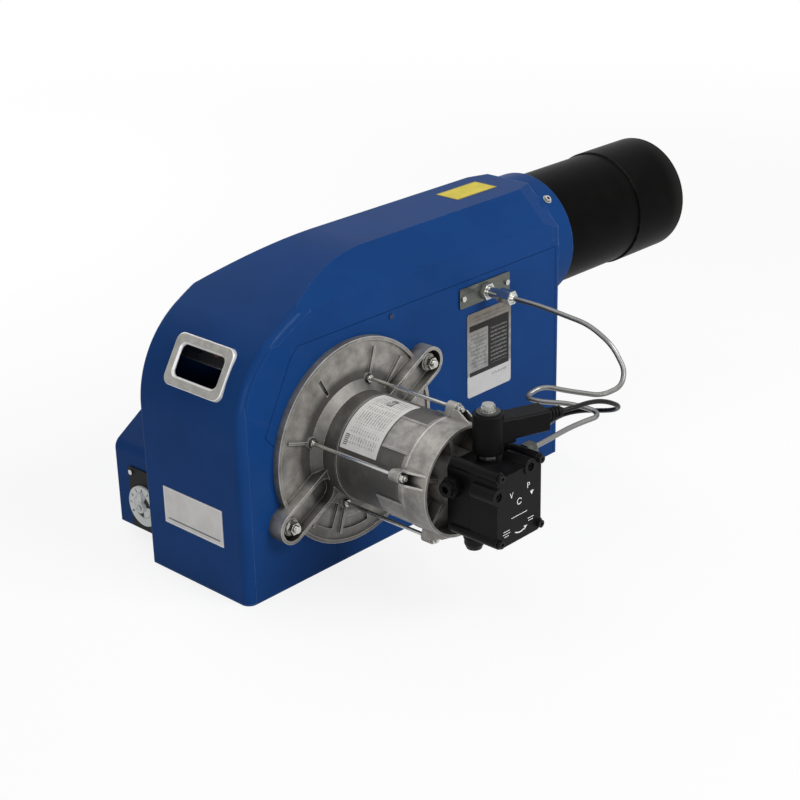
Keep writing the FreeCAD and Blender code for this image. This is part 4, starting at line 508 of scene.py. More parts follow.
def data_plate_finish(shade, ink):
    """Data plate: brushed, blotched sheet with a dark table, two dark bars and a bare lower part."""
    finish = Finish("data_plate_print")
    x, _, z = finish.axes()
    u = (x - plate_low[0]) / (plate_high[0] - plate_low[0])
    v = (plate_high[2] - z) / (plate_high[2] - plate_low[2])
    lines = finish.noise(0.010, 5.0, 0.6, finish.stretched((1.0, 1.0, 40.0)))
    sheet = finish.tones(lines, 0.3, 0.7, shade, 0.85, 1.12)
    blotches = finish.noise(0.014, 4.0, 0.6).eased(0.42, 0.66) * 0.55
    spotted = finish.blend(blotches, sheet, scaled(shade, 0.45))
    warm = finish.blend((1.0 - v.eased(0.05, 0.40)) * 0.75, spotted, (0.15, 0.125, 0.10))
    bright = finish.blend(v.eased(0.72, 0.76) * 0.70, warm, (0.60, 0.60, 0.60))
    bars = u.between(0.05, 0.95) * (v.between(0.145, 0.215) + v.between(0.700, 0.752))
    strokes = finish.noise(0.0014, 1.0) > 0.47
    rows = v.between(0.235, 0.685) * ((v * 21.0) % 1.0).between(0.30, 0.72) * strokes
    table = u.between(0.47, 0.95) * v.between(0.215, 0.700)
    entries = u.between(0.53, 0.90) * rows
    captions = u.between(0.08, 0.43) * rows
    small = u.between(0.55, 0.90) * v.between(0.80, 0.83)
    title = u.between(0.12, 0.86) * (v.between(0.05, 0.07) + v.between(0.095, 0.11))
    faint = (captions + (small + title) * strokes) * 0.45
    dark = finish.maths("MAXIMUM", bars + table * (1.0 - entries * 0.65), faint)
    print_map = finish.maths("MINIMUM", dark, 0.96)
    finish.set(Base_Color=finish.blend(print_map, bright, ink), Roughness=0.30 + lines * 0.14,
               Metallic=finish.maths("MAXIMUM", 0.80 - print_map, 0.0), Specular_IOR_Level=0.05)
    return finish.relief(lines, 0.00002, 0.6, 0.0003)


def rear_plate_finish(shade, ink):
    """Plate on the back: a bare light field over one dark rule."""
    finish = Finish("rear_plate_print")
    _, y, z = finish.axes()
    u = (rear_high[1] - y) / (rear_high[1] - rear_low[1])
    v = (rear_high[2] - z) / (rear_high[2] - rear_low[2])
    rule = u.between(0.06, 0.95) * v.between(0.835, 0.875)
    border = 1.0 - u.between(0.018, 0.982) * v.between(0.04, 0.96)
    cloud = finish.noise(0.02, 4.0)
    sheet = finish.tones(cloud, 0.3, 0.7, shade, 1.0, 0.88)
    edged = finish.blend(border * 0.5, sheet, lighter(shade, 0.4))
    finish.set(Base_Color=finish.blend(rule * 0.9, edged, ink), Roughness=0.32 + cloud * 0.12,
               Specular_IOR_Level=0.4)
    return finish.relief(finish.noise(0.001, 2.0), 0.00001)


def top_label_finish(shade):
    """Plain yellow label with a darker rim."""
    finish = Finish("top_label_print")
    x, y, _ = finish.axes()
    rim = 0.002
    inside = (x.between(top_low[0] + rim, top_high[0] - rim) *
              y.between(top_low[1] + rim, top_high[1] - rim))
    cloud = finish.noise(0.02, 4.0)
    field = finish.tones(cloud, 0.35, 0.7, shade, 1.0, 0.86)
    finish.set(Base_Color=finish.blend(inside, scaled(shade, 0.55), field), Roughness=0.42 + cloud * 0.1,
               Specular_IOR_Level=0.3)
    return finish.relief(finish.noise(0.0008, 2.0), 0.00001)


def shell_finish(shade):
    """Motor shell: dark lacquer over pressed sheet, with a painted highlight along its top, lighter patches
    at random, and dust at the seams.
    """
    finish = Finish("motor_shell_lacquer")
    cloud = finish.noise(0.025, 5.0, 0.6)
    lines = finish.noise(0.016, 4.0, 0.6, finish.stretched((1.0, 14.0, 1.0)))
    _, y, z = finish.axes()
    seam = finish.maths("MAXIMUM", 1.0 - (y - shell_low[1]).eased(0.0, 0.006),
                        1.0 - (shell_high[1] - y).eased(0.0, 0.006))
    # Painted highlight: lighter towards the top
    painted_highlight = (z - motor_axis.z).eased(-0.01, 0.06)
    sheen_and_wear = finish.maths("MINIMUM", painted_highlight * 0.60 + cloud.eased(0.45, 0.75) * 0.30, 1.0)
    ground = finish.blend(sheen_and_wear, shade, scaled(shade, 3.8))
    finish.set(Base_Color=finish.blend(seam * 0.4, ground, scaled(shade, 4.0)), Metallic=0.25,
               Roughness=0.32 + lines * 0.14 + cloud * 0.06)
    return finish.relief(lines, 0.00005, 0.7, 0.0006)


def tube_finish(shade):
    """Blast tube: satin black with rolled lines round it, a painted highlight on its edges in patches and
    along the top, and a slight heat bloom at the mouth.
    """
    finish = Finish("blast_tube_black")
    x, _, z = finish.axes()
    lines = finish.noise(0.012, 4.0, 0.6, finish.stretched((8.0, 1.0, 1.0)))
    cloud = finish.noise(0.04, 4.0)
    bloom = x.eased(sleeve_high[0] - 0.03, sleeve_high[0] + 0.002)
    ground = finish.tones(cloud, 0.35, 0.75, shade, 1.0, 1.8)
    # Painted highlight on the edges, in patches and strongest along the top
    on_top = z.eased(tube_high[2] - 0.06, tube_high[2])
    painted_highlight = finish.noise(0.005, 4.0).eased(0.45, 0.65) * 0.35 + on_top * 0.65
    rim = finish.edges(0.0014).eased(0.15, 0.7) * painted_highlight
    finish.set(Base_Color=finish.blend(rim + bloom * 0.12, ground, (0.10, 0.098, 0.094)),
               Roughness=0.30 + lines * 0.12 + cloud * 0.06, Specular_IOR_Level=0.02)
    return finish.relief(finish.noise(0.0016), 0.00003, 0.8, 0.0006)


def cable_finish(shade):
    """Cable jacket: smooth black with a faint grain."""
    finish = Finish("cable_jacket_black")
    fine = finish.noise(0.0012)
    cloud = finish.noise(0.012)
    finish.set(Base_Color=finish.blend(cloud, shade, scaled(shade, 2.2)), Roughness=0.30 + fine * 0.12,
               Specular_IOR_Level=0.14)
    return finish.relief(fine, 0.00003, 0.7)


def ceramic_finish():
    """Glazed ceramic with patches of soot."""
    finish = Finish("electrode_ceramic")
    cloud = finish.noise(0.006, 4.0)
    soot = cloud.eased(0.55, 0.75) * 0.5
    finish.set(Base_Color=finish.blend(soot, (0.74, 0.72, 0.66), (0.28, 0.24, 0.20)), Coat_Weight=0.5,
               Roughness=0.18 + cloud * 0.1)
    return finish.relief(finish.noise(0.001, 2.0), 0.00002)


def heat_finish():
    """Steel with temper colours from the flame."""
    finish = Finish("tempered_steel")
    shade = (0.22, 0.21, 0.20)
    cloud = finish.noise(0.012, 5.0)
    toned = finish.ramp(cloud, (0.3, (0.10, 0.075, 0.05)), (0.45, shade), (0.6, (0.10, 0.09, 0.14)),
                        (0.75, scaled(shade, 1.3)))
    finish.set(Base_Color=toned, Metallic=0.9, Roughness=0.35 + cloud * 0.25)
    return finish.relief(finish.noise(0.0012), 0.00005, 0.8, 0.0004)


def copper_finish():
    """Varnished windings laid round the motor axis."""
    finish = Finish("winding_varnish")
    x, _, z = finish.axes()
    wire = 0.0011
    strands = abs(((distance(z - motor_axis.z, x) / wire) % 1.0) - 0.5) * 2.0
    cloud = finish.noise(0.006)
    varnish = finish.blend(strands * 0.5 + cloud * 0.4, (0.42, 0.17, 0.06), (0.16, 0.05, 0.02))
    finish.set(Base_Color=varnish, Metallic=0.5, Roughness=0.35 + cloud * 0.15)
    return finish.relief(strands, 0.0002)


def bezel_finish(shade):
    """Pressed window frame: fine satin grain, with a painted highlight where its edges turn."""
    finish = Finish("bezel_satin")
    cloud = finish.noise(0.012, 4.0)
    grain = finish.noise(0.0009)
    front = max(NODES["window_bezel"].data.polygons, key=lambda polygon: polygon.area)
    turned_highlight = 1.0 - finish.dot(finish.normal("True Normal"), front.normal).eased(0.75, 0.95)
    ground = finish.tones(cloud, 0.3, 0.7, shade, 0.85, 1.15)
    # Painted highlight where the frame turns away from its front
    finish.set(Base_Color=finish.blend(turned_highlight * 0.85, ground, lighter(shade, 0.60)), Metallic=0.30,
               Roughness=0.30 + grain * 0.12 + cloud * 0.05)
    return finish.relief(grain, 0.00003, 0.7, 0.0012)


def coil_nut_finish(zinc):
    """Plated nut over a dark washer."""
    finish = Finish("coil_nut_zinc")
    x, y, _ = finish.axes()
    middle = (nut_low + nut_high) / 2
    washer = distance(x - middle[0], y - middle[1]).eased(0.0078, 0.0084)
    cloud = finish.noise(0.002, 4.0)
    nut = finish.tones(cloud, 0.35, 0.7, zinc, 0.45, 0.95)
    finish.set(Base_Color=finish.blend(washer, nut, (0.02, 0.02, 0.02)), Metallic=0.85 - washer * 0.6,
               Roughness=0.28 + cloud * 0.16)
    return finish.relief(cloud, 0.00005, 0.7, 0.0004)


def button_finish():
    """Dark red reset button that catches a little light inside."""
    finish = Finish("reset_button_red")
    cloud = finish.noise(0.004)
    finish.set(Base_Color=finish.blend(cloud, (0.055, 0.006, 0.005), (0.085, 0.010, 0.008)),
               Roughness=0.22 + cloud * 0.1, Coat_Weight=0.4)
    return finish.relief(finish.noise(0.0008, 2.0), 0.00001)


def mark_finish():
    """Slightly worn white print."""
    finish = Finish("pump_mark_white")
    cloud = finish.noise(0.0012, 4.0)
    finish.set(Base_Color=finish.blend(cloud.eased(0.35, 0.7), (0.80, 0.80, 0.78), (0.42, 0.42, 0.41)),
               Roughness=0.5 + cloud * 0.1)
    return finish.relief(cloud, 0.00001)


# Objects and meshes

def added(name, data):
    """A new object in the scene."""
    made = bpy.data.objects.new(name, data)
    bpy.context.scene.collection.objects.link(made)
    return made


def new_piece(name, mesh, body, finish):
    piece = added(name, mesh)
    wear(finish, piece)
    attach(piece, body)
    return piece


def mesh_of(source):
    """The finished mesh of an object whose modifiers or curve data make it; the source is removed."""
    graph = bpy.context.evaluated_depsgraph_get()
    mesh = bpy.data.meshes.new_from_object(source.evaluated_get(graph), depsgraph=graph)
    bpy.data.objects.remove(source)
    return mesh


def lettering(text, size, thickness):
    """A flat mesh of one or more generic characters, centred on the origin in XY."""
    curve = bpy.data.curves.new("letters", "FONT")
    curve.body = text
    curve.size = size
    curve.extrude = thickness / 2
    curve.align_x = "CENTER"
    curve.align_y = "CENTER"
    return mesh_of(added("letters", curve))


def outline_plate(points, thickness):
    """A thin flat mesh with a closed outline, in XY."""
    count = len(points)
    low = [(x, y, -thickness / 2) for x, y in points]
    high = [(x, y, thickness / 2) for x, y in points]
    faces = [tuple(reversed(range(count))), tuple(range(count, 2 * count))]
    faces += [(k, (k + 1) % count, count + (k + 1) % count, count + k) for k in range(count)]
    mesh = bpy.data.meshes.new("plate")
    mesh.from_pydata(low + high, [], faces)
    return mesh


def arc_band(radius, width, start, end, steps=24):
    """Outline of a band along an arc, angles in degrees."""
    turns = [math.radians(start + (end - start) * k / steps) for k in range(steps + 1)]
    outer = [((radius + width / 2) * math.cos(t), (radius + width / 2) * math.sin(t)) for t in turns]
    inner = [((radius - width / 2) * math.cos(t), (radius - width / 2) * math.sin(t)) for t in turns]
    return outer + inner[::-1]


def facing(normal, up, centre):
    """Matrix that puts a flat XY drawing on a face: its +Z along the normal, its +Y towards up."""
    out = Vector(normal).normalized()
    across = Vector(up).cross(out).normalized()
    rise = out.cross(across)
    turn = Matrix((across, rise, out)).transposed().to_4x4()
    return Matrix.Translation(centre) @ turn


def joined(name, meshes):
    """One mesh from several, each with its matrix."""
    points = []
    faces = []
    for mesh, matrix in meshes:
        first = len(points)
        points += [matrix @ vertex.co for vertex in mesh.vertices]
        faces += [tuple(first + k for k in polygon.vertices) for polygon in mesh.polygons]
    made = bpy.data.meshes.new(name)
    made.from_pydata(points, [], faces)
    made.update()
    return made


# Geometry Nodes

class Pattern(NodeTree):
    """A Geometry Nodes tree in the making, with named inputs."""

    kinds = {"i": "NodeSocketInt", "f": "NodeSocketFloat", "v": "NodeSocketVector"}

    def __init__(self, name, inputs):
        """Inputs are names with the kind of their value: i, f or v. The material's input comes last."""
        super().__init__(bpy.data.node_groups.new(name, "GeometryNodeTree"))
        self.tree.interface.new_socket("Geometry", in_out="OUTPUT", socket_type="NodeSocketGeometry")
        self.keys = {}
        for label, kind in inputs.items():
            self.keys[label] = self.add_input(label, self.kinds[kind])
        self.keys["Material"] = self.add_input("Material", "NodeSocketMaterial")
        self.given = self.tree.nodes.new("NodeGroupInput").outputs
        self.exit = self.tree.nodes.new("NodeGroupOutput")

    def add_input(self, label, kind):
        return self.tree.interface.new_socket(label, in_out="INPUT", socket_type=kind).identifier

    def made(self, kind, settings=None, values=None):
        """First output of a new node."""
        return self.node(kind, settings, values).outputs[0]

    def circle(self):
        """Points round a circle in the XY plane."""
        return self.made("GeometryNodeMeshCircle", {},
                         {"Vertices": self.given["Count"], "Radius": self.given["Radius"]})

    def finish(self, **values):
        """Ends the tree: instances on points, made real, then the material."""
        spread = self.made("GeometryNodeInstanceOnPoints", {}, values)
        real = self.made("GeometryNodeRealizeInstances", {}, {0: spread})
        dressed = self.made("GeometryNodeSetMaterial", {},
                            {"Geometry": real, "Material": self.given["Material"]})
        self.join(dressed, self.exit.inputs[0])
        return self

    def mesh(self, values):
        """Runs the tree with these values and returns a plain mesh."""
        source = added(self.tree.name, bpy.data.meshes.new(self.tree.name))
        modifier = source.modifiers.new("pattern", "NODES")
        modifier.node_group = self.tree
        for label, value in values.items():
            modifier[self.keys[label]] = value
        return mesh_of(source)


def thread_pattern():
    """Rings set along a line, as the crests of a thread."""
    tree = Pattern("thread", {"Start": "v", "Step": "v", "Count": "i", "Radius": "f", "Crest": "f"})
    given = tree.given
    line = tree.made("GeometryNodeMeshLine", {"mode": "OFFSET"},
                     {"Count": given["Count"], "Start Location": given["Start"], "Offset": given["Step"]})
    circle = tree.made("GeometryNodeCurvePrimitiveCircle", {}, {"Resolution": 20, "Radius": given["Radius"]})
    section = tree.made("GeometryNodeCurvePrimitiveCircle", {}, {"Resolution": 6, "Radius": given["Crest"]})
    ring = tree.made("GeometryNodeCurveToMesh", {}, {"Curve": circle, "Profile Curve": section})
    turn = tree.made("FunctionNodeAlignRotationToVector", {"axis": "Z"}, {"Vector": given["Step"]})
    return tree.finish(Points=line, Instance=ring, Rotation=turn)


def ring_pattern():
    """Small bars set round a circle in the XY plane, each pointing outwards."""
    tree = Pattern("ring_of_bars", {"Count": "i", "Radius": "f", "Size": "v"})
    bar = tree.made("GeometryNodeMeshCube", {}, {"Size": tree.given["Size"]})
    place = tree.made("GeometryNodeInputPosition")
    turn = tree.made("FunctionNodeAlignRotationToVector", {"axis": "X"}, {"Vector": place})
    return tree.finish(Points=tree.circle(), Instance=bar, Rotation=turn)


def weld_pattern():
    """Overlapping ripples round a circle in the XY plane, left out above a height limit."""
    tree = Pattern("weld", {"Count": "i", "Radius": "f", "Ripple": "f", "Seed": "i", "Limit": "f"})
    split = tree.node("ShaderNodeSeparateXYZ", {}, {0: tree.made("GeometryNodeInputPosition")})
    high = tree.made("FunctionNodeCompare", {"data_type": "FLOAT", "operation": "GREATER_THAN"},
                     {0: split.outputs[1], 1: tree.given["Limit"]})
    kept = tree.made("GeometryNodeDeleteGeometry", {"domain": "POINT"},
                     {"Geometry": tree.circle(), "Selection": high})
    ripple = tree.made("GeometryNodeMeshIcoSphere", {}, {"Radius": tree.given["Ripple"], "Subdivisions": 2})
    sizes = tree.node("FunctionNodeRandomValue", {"data_type": "FLOAT"},
                      {2: 0.75, 3: 1.15, "Seed": tree.given["Seed"]})
    return tree.finish(Points=kept, Instance=ripple, Scale=sizes.outputs[1])


# Operators

class Piece(bpy.types.Operator):
    """Shared settings of the operators that make or dress pieces."""
    bl_options = {"REGISTER", "UNDO"}

    def execute(self, context):
        self.make(context.scene)
        return {"FINISHED"}


class BURNER_OT_stage(Piece):
    """Sets the pale floor, the white backdrop, the soft lights and the camera."""
    bl_idname = "burner.stage"
    bl_label = "Set stage"

    # Each lamp's place, target, width and height
    lamps = {
        "key": ((0.6, -2.0, 1.7), (0.2, -0.1, 0.2), 1.5, 1.1),
        "top": ((-0.4, 0.1, 2.1), (0.1, 0.0, 0.2), 2.0, 1.0),
        "fill": ((-1.9, -1.6, 0.7), (0.0, -0.1, 0.2), 1.0, 1.0),
        "far": ((0.3, 2.2, 1.1), (0.2, 0.1, 0.2), 1.4, 1.0),
    }
    # Half the floor's width, and its gap below the burner
    floor_half = 30.0
    floor_gap = 0.0004
    # The floor fades to white between these distances from the origin
    fade = (0.9, 3.0)
    # Turn, rise and roll of the camera in degrees, and its place across, up and back from an origin
    view_angles = (-46.2947, 23.1946, -1.323)
    view_place = (0.22774, 0.21150, 1.98832)
    view_origin = Vector((-0.170, 0.0, 0.0))

    def make(self, scene):
        sizes = scene.burner_stage
        scene.view_settings.view_transform = "Standard"
        self.sky(scene, sizes)
        self.ground(sizes)
        for name, lamp in self.lamps.items():
            self.lamp(f"{name}_light", *lamp, getattr(sizes, name))
        self.camera(scene, sizes)

    @staticmethod
    def seen(nodes):
        """1 for rays from the camera and for what glossy and clear surfaces show."""
        rays = nodes.node("ShaderNodeLightPath").outputs
        direct = nodes.maths("MAXIMUM", rays["Is Camera Ray"], rays["Is Glossy Ray"])
        return nodes.maths("MAXIMUM", direct, rays["Is Transmission Ray"])

    def sky(self, scene, sizes):
        scene.world = bpy.data.worlds.new("studio")
        scene.world.use_nodes = True
        nodes = NodeTree(scene.world.node_tree)
        light = nodes.tree.nodes["Background"]
        nodes.join(WHITE, light.inputs["Color"])
        nodes.join(sizes.sky, light.inputs["Strength"])
        backdrop = nodes.node("ShaderNodeBackground", {}, {"Color": WHITE, "Strength": 1.0})
        nodes.end(self.seen(nodes), light, backdrop, "World Output")

    def ground(self, sizes):
        finish = Finish("pale_floor")
        finish.set(Base_Color=sizes.floor, Roughness=0.9, Specular_IOR_Level=0.0)
        glow = finish.node("ShaderNodeEmission", {}, {"Color": WHITE, "Strength": 1.0})
        x, y, _ = finish.axes()
        away = distance(x, y).eased(*self.fade)
        part = self.seen(finish) * (sizes.white + away * (1.0 - sizes.white))
        finish.end(part, finish.shader, glow, "Material Output")
        mesh = bpy.data.meshes.new("floor")
        half = self.floor_half
        corners = [(half * x, half * y, -self.floor_gap) for x, y in ((-1, -1), (1, -1), (1, 1), (-1, 1))]
        mesh.from_pydata(corners, [], [(0, 1, 2, 3)])
        floor = added("floor", mesh)
        wear(finish, floor)

    @staticmethod
    def lamp(name, place, target, width, height, strength):
        light = bpy.data.lights.new(name, "AREA")
        light.shape = "RECTANGLE"
        light.size, light.size_y, light.energy = width, height, strength
        lamp = added(name, light)
        lamp.location = place
        lamp.rotation_euler = (Vector(target) - Vector(place)).to_track_quat("-Z", "Y").to_euler()

    def camera(self, scene, sizes):
        turn, rise, roll = map(math.radians, self.view_angles)
        back = Vector((math.sin(turn) * math.cos(rise), -math.cos(turn) * math.cos(rise), math.sin(rise)))
        right = Vector((math.cos(turn), math.sin(turn), 0.0))
        up = back.cross(right)
        level = math.cos(roll) * right + math.sin(roll) * up
        upright = math.cos(roll) * up - math.sin(roll) * right
        across, above, behind = self.view_place
        place = level * across + upright * above + back * behind + self.view_origin
        data = bpy.data.cameras.new("camera")
        data.lens = sizes.lens
        data.sensor_width = 36.0
        camera = added("camera", data)
        camera.matrix_world = Matrix.Translation(place) @ Matrix((level, upright, back)).transposed().to_4x4()
        scene.camera = camera


class BURNER_OT_cable(Piece):
    """Lays the valve cable from the boot to the gland on the side cover."""
    bl_idname = "burner.cable"
    bl_label = "Lay valve cable"

    # Route of the cable's centre line, from the boot's tip to the gland, in millimetres
    route = (
        (87.45, -317.47, 222.0), (101.05, -321.67, 221.5), (120.05, -321.97, 220.5),
        (138.05, -322.77, 217.5), (152.05, -324.67, 213.5), (165.05, -325.77, 207.5),
        (177.05, -325.07, 200.5), (186.05, -319.47, 193.0), (192.55, -308.97, 185.5),
        (198.05, -293.97, 178.5), (203.05, -274.97, 171.5), (207.05, -254.97, 164.5),
        (208.55, -235.97, 156.5), (210.0, -219.0, 147.0), (218.0, -200.0, 132.0),
        (231.0, -182.0, 116.5), (247.0, -166.0, 102.5), (262.5, -149.0, 89.5),
        (274.5, -130.0, 80.0), (280.0, -109.0, 75.5), (280.0, -87.0, 75.0),
    )

    def make(self, scene):
        sizes = scene.burner_cable
        points = [Vector(point) / 1000.0 for point in self.route]
        curve = bpy.data.curves.new("cable", "CURVE")
        curve.dimensions = "3D"
        curve.bevel_depth = sizes.radius
        curve.bevel_resolution = 5
        curve.resolution_u = 12
        curve.use_fill_caps = True
        spline = curve.splines.new("NURBS")
        spline.points.add(len(points) - 1)
        for knot, point in zip(spline.points, points):
            knot.co = (*point, 1.0)
        spline.order_u = 3
        spline.use_endpoint_u = True
        cable = added("cable", curve)
        wear(cable_finish(scene.burner_paint.plastic), cable)
        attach(cable, "burner")
        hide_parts("valve_cable")


class BURNER_OT_housing(Piece):
    """Paints the housing, its cover and the air intake box blue, and finishes the window's frame."""
    bl_idname = "burner.housing"
    bl_label = "Paint housing"

    def make(self, scene):
        paint = scene.burner_paint
        # The housing's edges take a pale painted highlight; the cover's edges are darker joints
        wear(painted("housing_blue", paint.housing, paint.orange_peel, paint.chips),
             "housing_wrap", "inlet_side_panel", "base_panel", "front_panel", "air_box")
        wear(painted("cover_blue", paint.housing, paint.orange_peel, paint.chips, edge_mark_strength=0.75,
                     edge_shade=scaled(paint.housing, 0.30)), "motor_side_panel", "side_cover")
        wear(bezel_finish(scene.burner_metal.bezel), "window_bezel")


class BURNER_OT_tube(Piece):
    """Blackens the blast tube and its sleeve."""
    bl_idname = "burner.tube"
    bl_label = "Blacken tube"

    def make(self, scene):
        wear(tube_finish(scene.burner_paint.tube), "blast_tube", "end_sleeve")


class BURNER_OT_castings(Piece):
    """Gives the motor flange and the end shield their cast skin."""
    bl_idname = "burner.castings"
    bl_label = "Finish castings"

    def make(self, scene):
        metal = scene.burner_metal
        wear(cast_alloy("cast_alloy", metal.casting, metal.grain), "motor_flange", "end_shield")


class BURNER_OT_motor(Piece):
    """Finishes the motor's shell, its inner parts, rods and studs, and the housing's screws."""
    bl_idname = "burner.motor"
    bl_label = "Finish motor"

    def make(self, scene):
        metal = scene.burner_metal
        wear(shell_finish(metal.shell), "stator_shell")
        wear(plated("zinc_plating", metal.zinc), "tie_rods", "flange_studs")
        wear(screw_finish(metal.zinc, scene.burner_paint.housing), "housing_screws")
        wear(brushed("ground_steel", (0.45, 0.45, 0.46), (30.0, 1.0, 30.0), 0.18), "motor_shaft",
             "motor_bearings")
        wear(brushed("laminated_steel", (0.16, 0.16, 0.17), (1.0, 60.0, 1.0), 0.35), "stator_core",
             "rotor_core")
        wear(copper_finish(), "stator_windings")
        wear(moulded("coupling_plastic", (0.62, 0.58, 0.47), low=0.4, gloss=0.4), "shaft_coupling")


class BURNER_OT_weld(Piece):
    """Runs a rippled weld round the collar's foot with Geometry Nodes."""
    bl_idname = "burner.weld"
    bl_label = "Weld collar"

    # The weld leaves out the top of the circle, where the collar meets the housing's top
    limit_below_top = 0.0008

    def make(self, scene):
        sizes = scene.burner_weld
        # A lighter blue than the housing, a painted highlight on the ripples
        finish = painted("weld_blue", scaled(scene.burner_paint.housing, 1.5), peel=0.00002, chips=0.8)
        mesh = weld_pattern().mesh({"Count": sizes.count, "Radius": collar_radius, "Ripple": sizes.size,
                                    "Seed": sizes.seed, "Limit": collar_radius - self.limit_below_top,
                                    "Material": finish.material})
        quarter = math.radians(90.0)
        turn = Matrix.Rotation(quarter, 4, "Z") @ Matrix.Rotation(quarter, 4, "X")
        mesh.transform(Matrix.Translation(collar_foot) @ turn)
        mesh.shade_smooth()
        mesh.update()
        new_piece("collar_weld", mesh, "burner", finish)


class BURNER_OT_threads(Piece):
    """Cuts the visible threads of the tie rods and studs with Geometry Nodes."""
    bl_idname = "burner.threads"
    bl_label = "Cut threads"

    # Radius of the circle round the motor's axis and angles on it, of the rods and of the studs
    rods = (0.074, (73.0, 163.0, 253.0, 343.0))
    studs = (0.131, (29.0, 209.0))
    # A run starts this far in from the end of the shell, the rods or the studs, and has so many crests
    shell_in, rod_in, stud_in = 0.004, 0.0002, 0.0005
    long_run, short_run = 17, 3
    # A crest's centre line lies this deep in the rod, and its radius is this share of the pitch
    sink = 0.00005
    crest_share = 0.30

    def make(self, scene):
        sizes = scene.burner_threads
        rod = (sizes.rod_radius, sizes.rod_pitch)
        stud = (sizes.stud_radius, sizes.stud_pitch)
        # Circle, start along Y, direction along Y, radius and pitch, and count of crests
        runs = (
            (self.rods, shell_low[1] + self.shell_in, -1.0, rod, self.long_run),
            (self.rods, rods_low[1] + self.rod_in, 1.0, rod, self.short_run),
            (self.studs, studs_low[1] + self.stud_in, 1.0, stud, self.short_run),
        )
        finish = plated("thread_zinc", scene.burner_metal.zinc)
        pattern = thread_pattern()
        meshes = []
        for (circle, angles), start, along, (radius, pitch), count in runs:
            for angle in map(math.radians, angles):
                place = (circle * math.cos(angle), start, motor_axis.z + circle * math.sin(angle))
                mesh = pattern.mesh({"Start": Vector(place), "Step": Vector((0.0, along * pitch, 0.0)),
                                     "Count": count, "Radius": radius - self.sink,
                                     "Crest": pitch * self.crest_share, "Material": finish.material})
                meshes.append((mesh, Matrix.Identity(4)))
        piece = new_piece("threads", joined("threads", meshes), "burner", finish)
        piece.data.shade_smooth()


class BURNER_OT_pump(Piece):
    """Blackens the oil pump, its screws, plugs and suction adapter."""
    bl_idname = "burner.pump"
    bl_label = "Finish pump"

    def make(self, scene):
        shade = scene.burner_paint.pump
        wear(black_enamel("pump_black", shade), "pump_body", "pump_cover", "suction_adapter")
        wear(black_enamel("screw_black", scaled(shade, 1.4), grain=0.0008, depth=0.00003, gloss=0.12),
             "pump_screws", "pump_plugs")
        wear(plated("outlet_dark_steel", (0.055, 0.06, 0.055), tint=(0.11, 0.12, 0.10), low=0.26),
             "outlet_fitting")


class BURNER_OT_pump_marks(Piece):
    """Prints the generic port letters, a port ring and the direction arrow on the pump's face."""
    bl_idname = "burner.pump_marks"
    bl_label = "Print pump marks"

    letter_size = 0.0095
    # Places across and up from the middle of the pump's face
    letters = (("V", -0.013, 0.014), ("P", 0.0147, 0.0165))
    ring = (0.0, 0.0035)
    triangle = (0.0205, 0.0065)
    arrow = (0.0015, -0.0185)
    arrow_radius = 0.0150
    arrow_end = 300.0
    # Bars: across, up and length
    bars = ((-0.021, -0.0245, 0.010), (-0.021, -0.0275, 0.012), (-0.021, -0.0305, 0.007),
            (0.019, -0.0225, 0.010), (0.019, -0.0255, 0.008), (0.0, -0.0125, 0.026))
    bar_half = 0.0004
    # The printed face lies this far behind the cover's front, and its middle this far below the cover's
    face_depth = 0.0015
    middle_drop = 0.00275

    def make(self, scene):
        thickness = scene.burner_print.mark_thickness
        tip = math.radians(self.arrow_end)
        head = [(self.arrow_radius * math.cos(tip) + dx, self.arrow_radius * math.sin(tip) + dy)
                for dx, dy in ((-0.0006, -0.0024), (0.0042, 0.0018), (-0.0012, 0.0026))]
        outlines = [
            (arc_band(radius=0.0034, width=0.0011, start=20.0, end=330.0), self.ring),
            (arc_band(self.arrow_radius, width=0.0014, start=235.0, end=self.arrow_end), self.arrow),
            ([(-0.003, 0.0022), (0.003, 0.0022), (0.0, -0.0028)], self.triangle),
            (head, self.arrow),
        ]
        for x, z, long in self.bars:
            half, thin = long / 2, self.bar_half
            outlines.append(([(-half, -thin), (half, -thin), (half, thin), (-half, thin)], (x, z)))
        drawings = [(lettering(text, self.letter_size, thickness), x, z) for text, x, z in self.letters]
        drawings += [(outline_plate(points, thickness), *place) for points, place in outlines]
        face = cover_low[1] + self.face_depth - thickness * MARK_LIFT
        middle = (cover_low[2] + cover_high[2]) / 2 - self.middle_drop
        placed = [(mesh, facing((0, -1, 0), (0, 0, 1), (x, face, middle + z))) for mesh, x, z in drawings]
        new_piece("pump_marks", joined("pump_marks", placed), "burner", mark_finish())


class BURNER_OT_valve(Piece):
    """Finishes the solenoid valve with its coil, plug, boot and nut."""
    bl_idname = "burner.valve"
    bl_label = "Finish valve"

    def make(self, scene):
        shade = scene.burner_paint.plastic
        wear(moulded("coil_plastic", shade, low=0.36, gloss=0.075, grain=0.0009), "valve_coil", "valve_plug",
             "cable_gland")
        wear(moulded("boot_rubber", scaled(shade, 1.2), low=0.50, gloss=0.10, grain=0.0006), "cable_boot")
        wear(brushed("stem_steel", (0.40, 0.40, 0.39), (20.0, 20.0, 1.0), 0.24), "valve_stem",
             "valve_plunger")
        wear(coil_nut_finish(scene.burner_metal.zinc), "coil_nut")


class BURNER_OT_line(Piece):
    """Finishes the fuel pipe, the line fitting and its bracket."""
    bl_idname = "burner.line"
    bl_label = "Finish fuel line"

    def make(self, scene):
        metal = scene.burner_metal
        wear(brushed("drawn_pipe", metal.pipe, (3.0, 3.0, 3.0), 0.28, 0.05), "fuel_pipe", "nozzle_line")
        wear(plated("fitting_plating", lighter(metal.zinc, 0.15), tint=(0.50, 0.53, 0.45), low=0.12),
             "line_fitting")
        wear(brushed("bracket_galvanised", (0.115, 0.12, 0.11), (1.0, 1.0, 24.0), 0.18), "line_bracket")


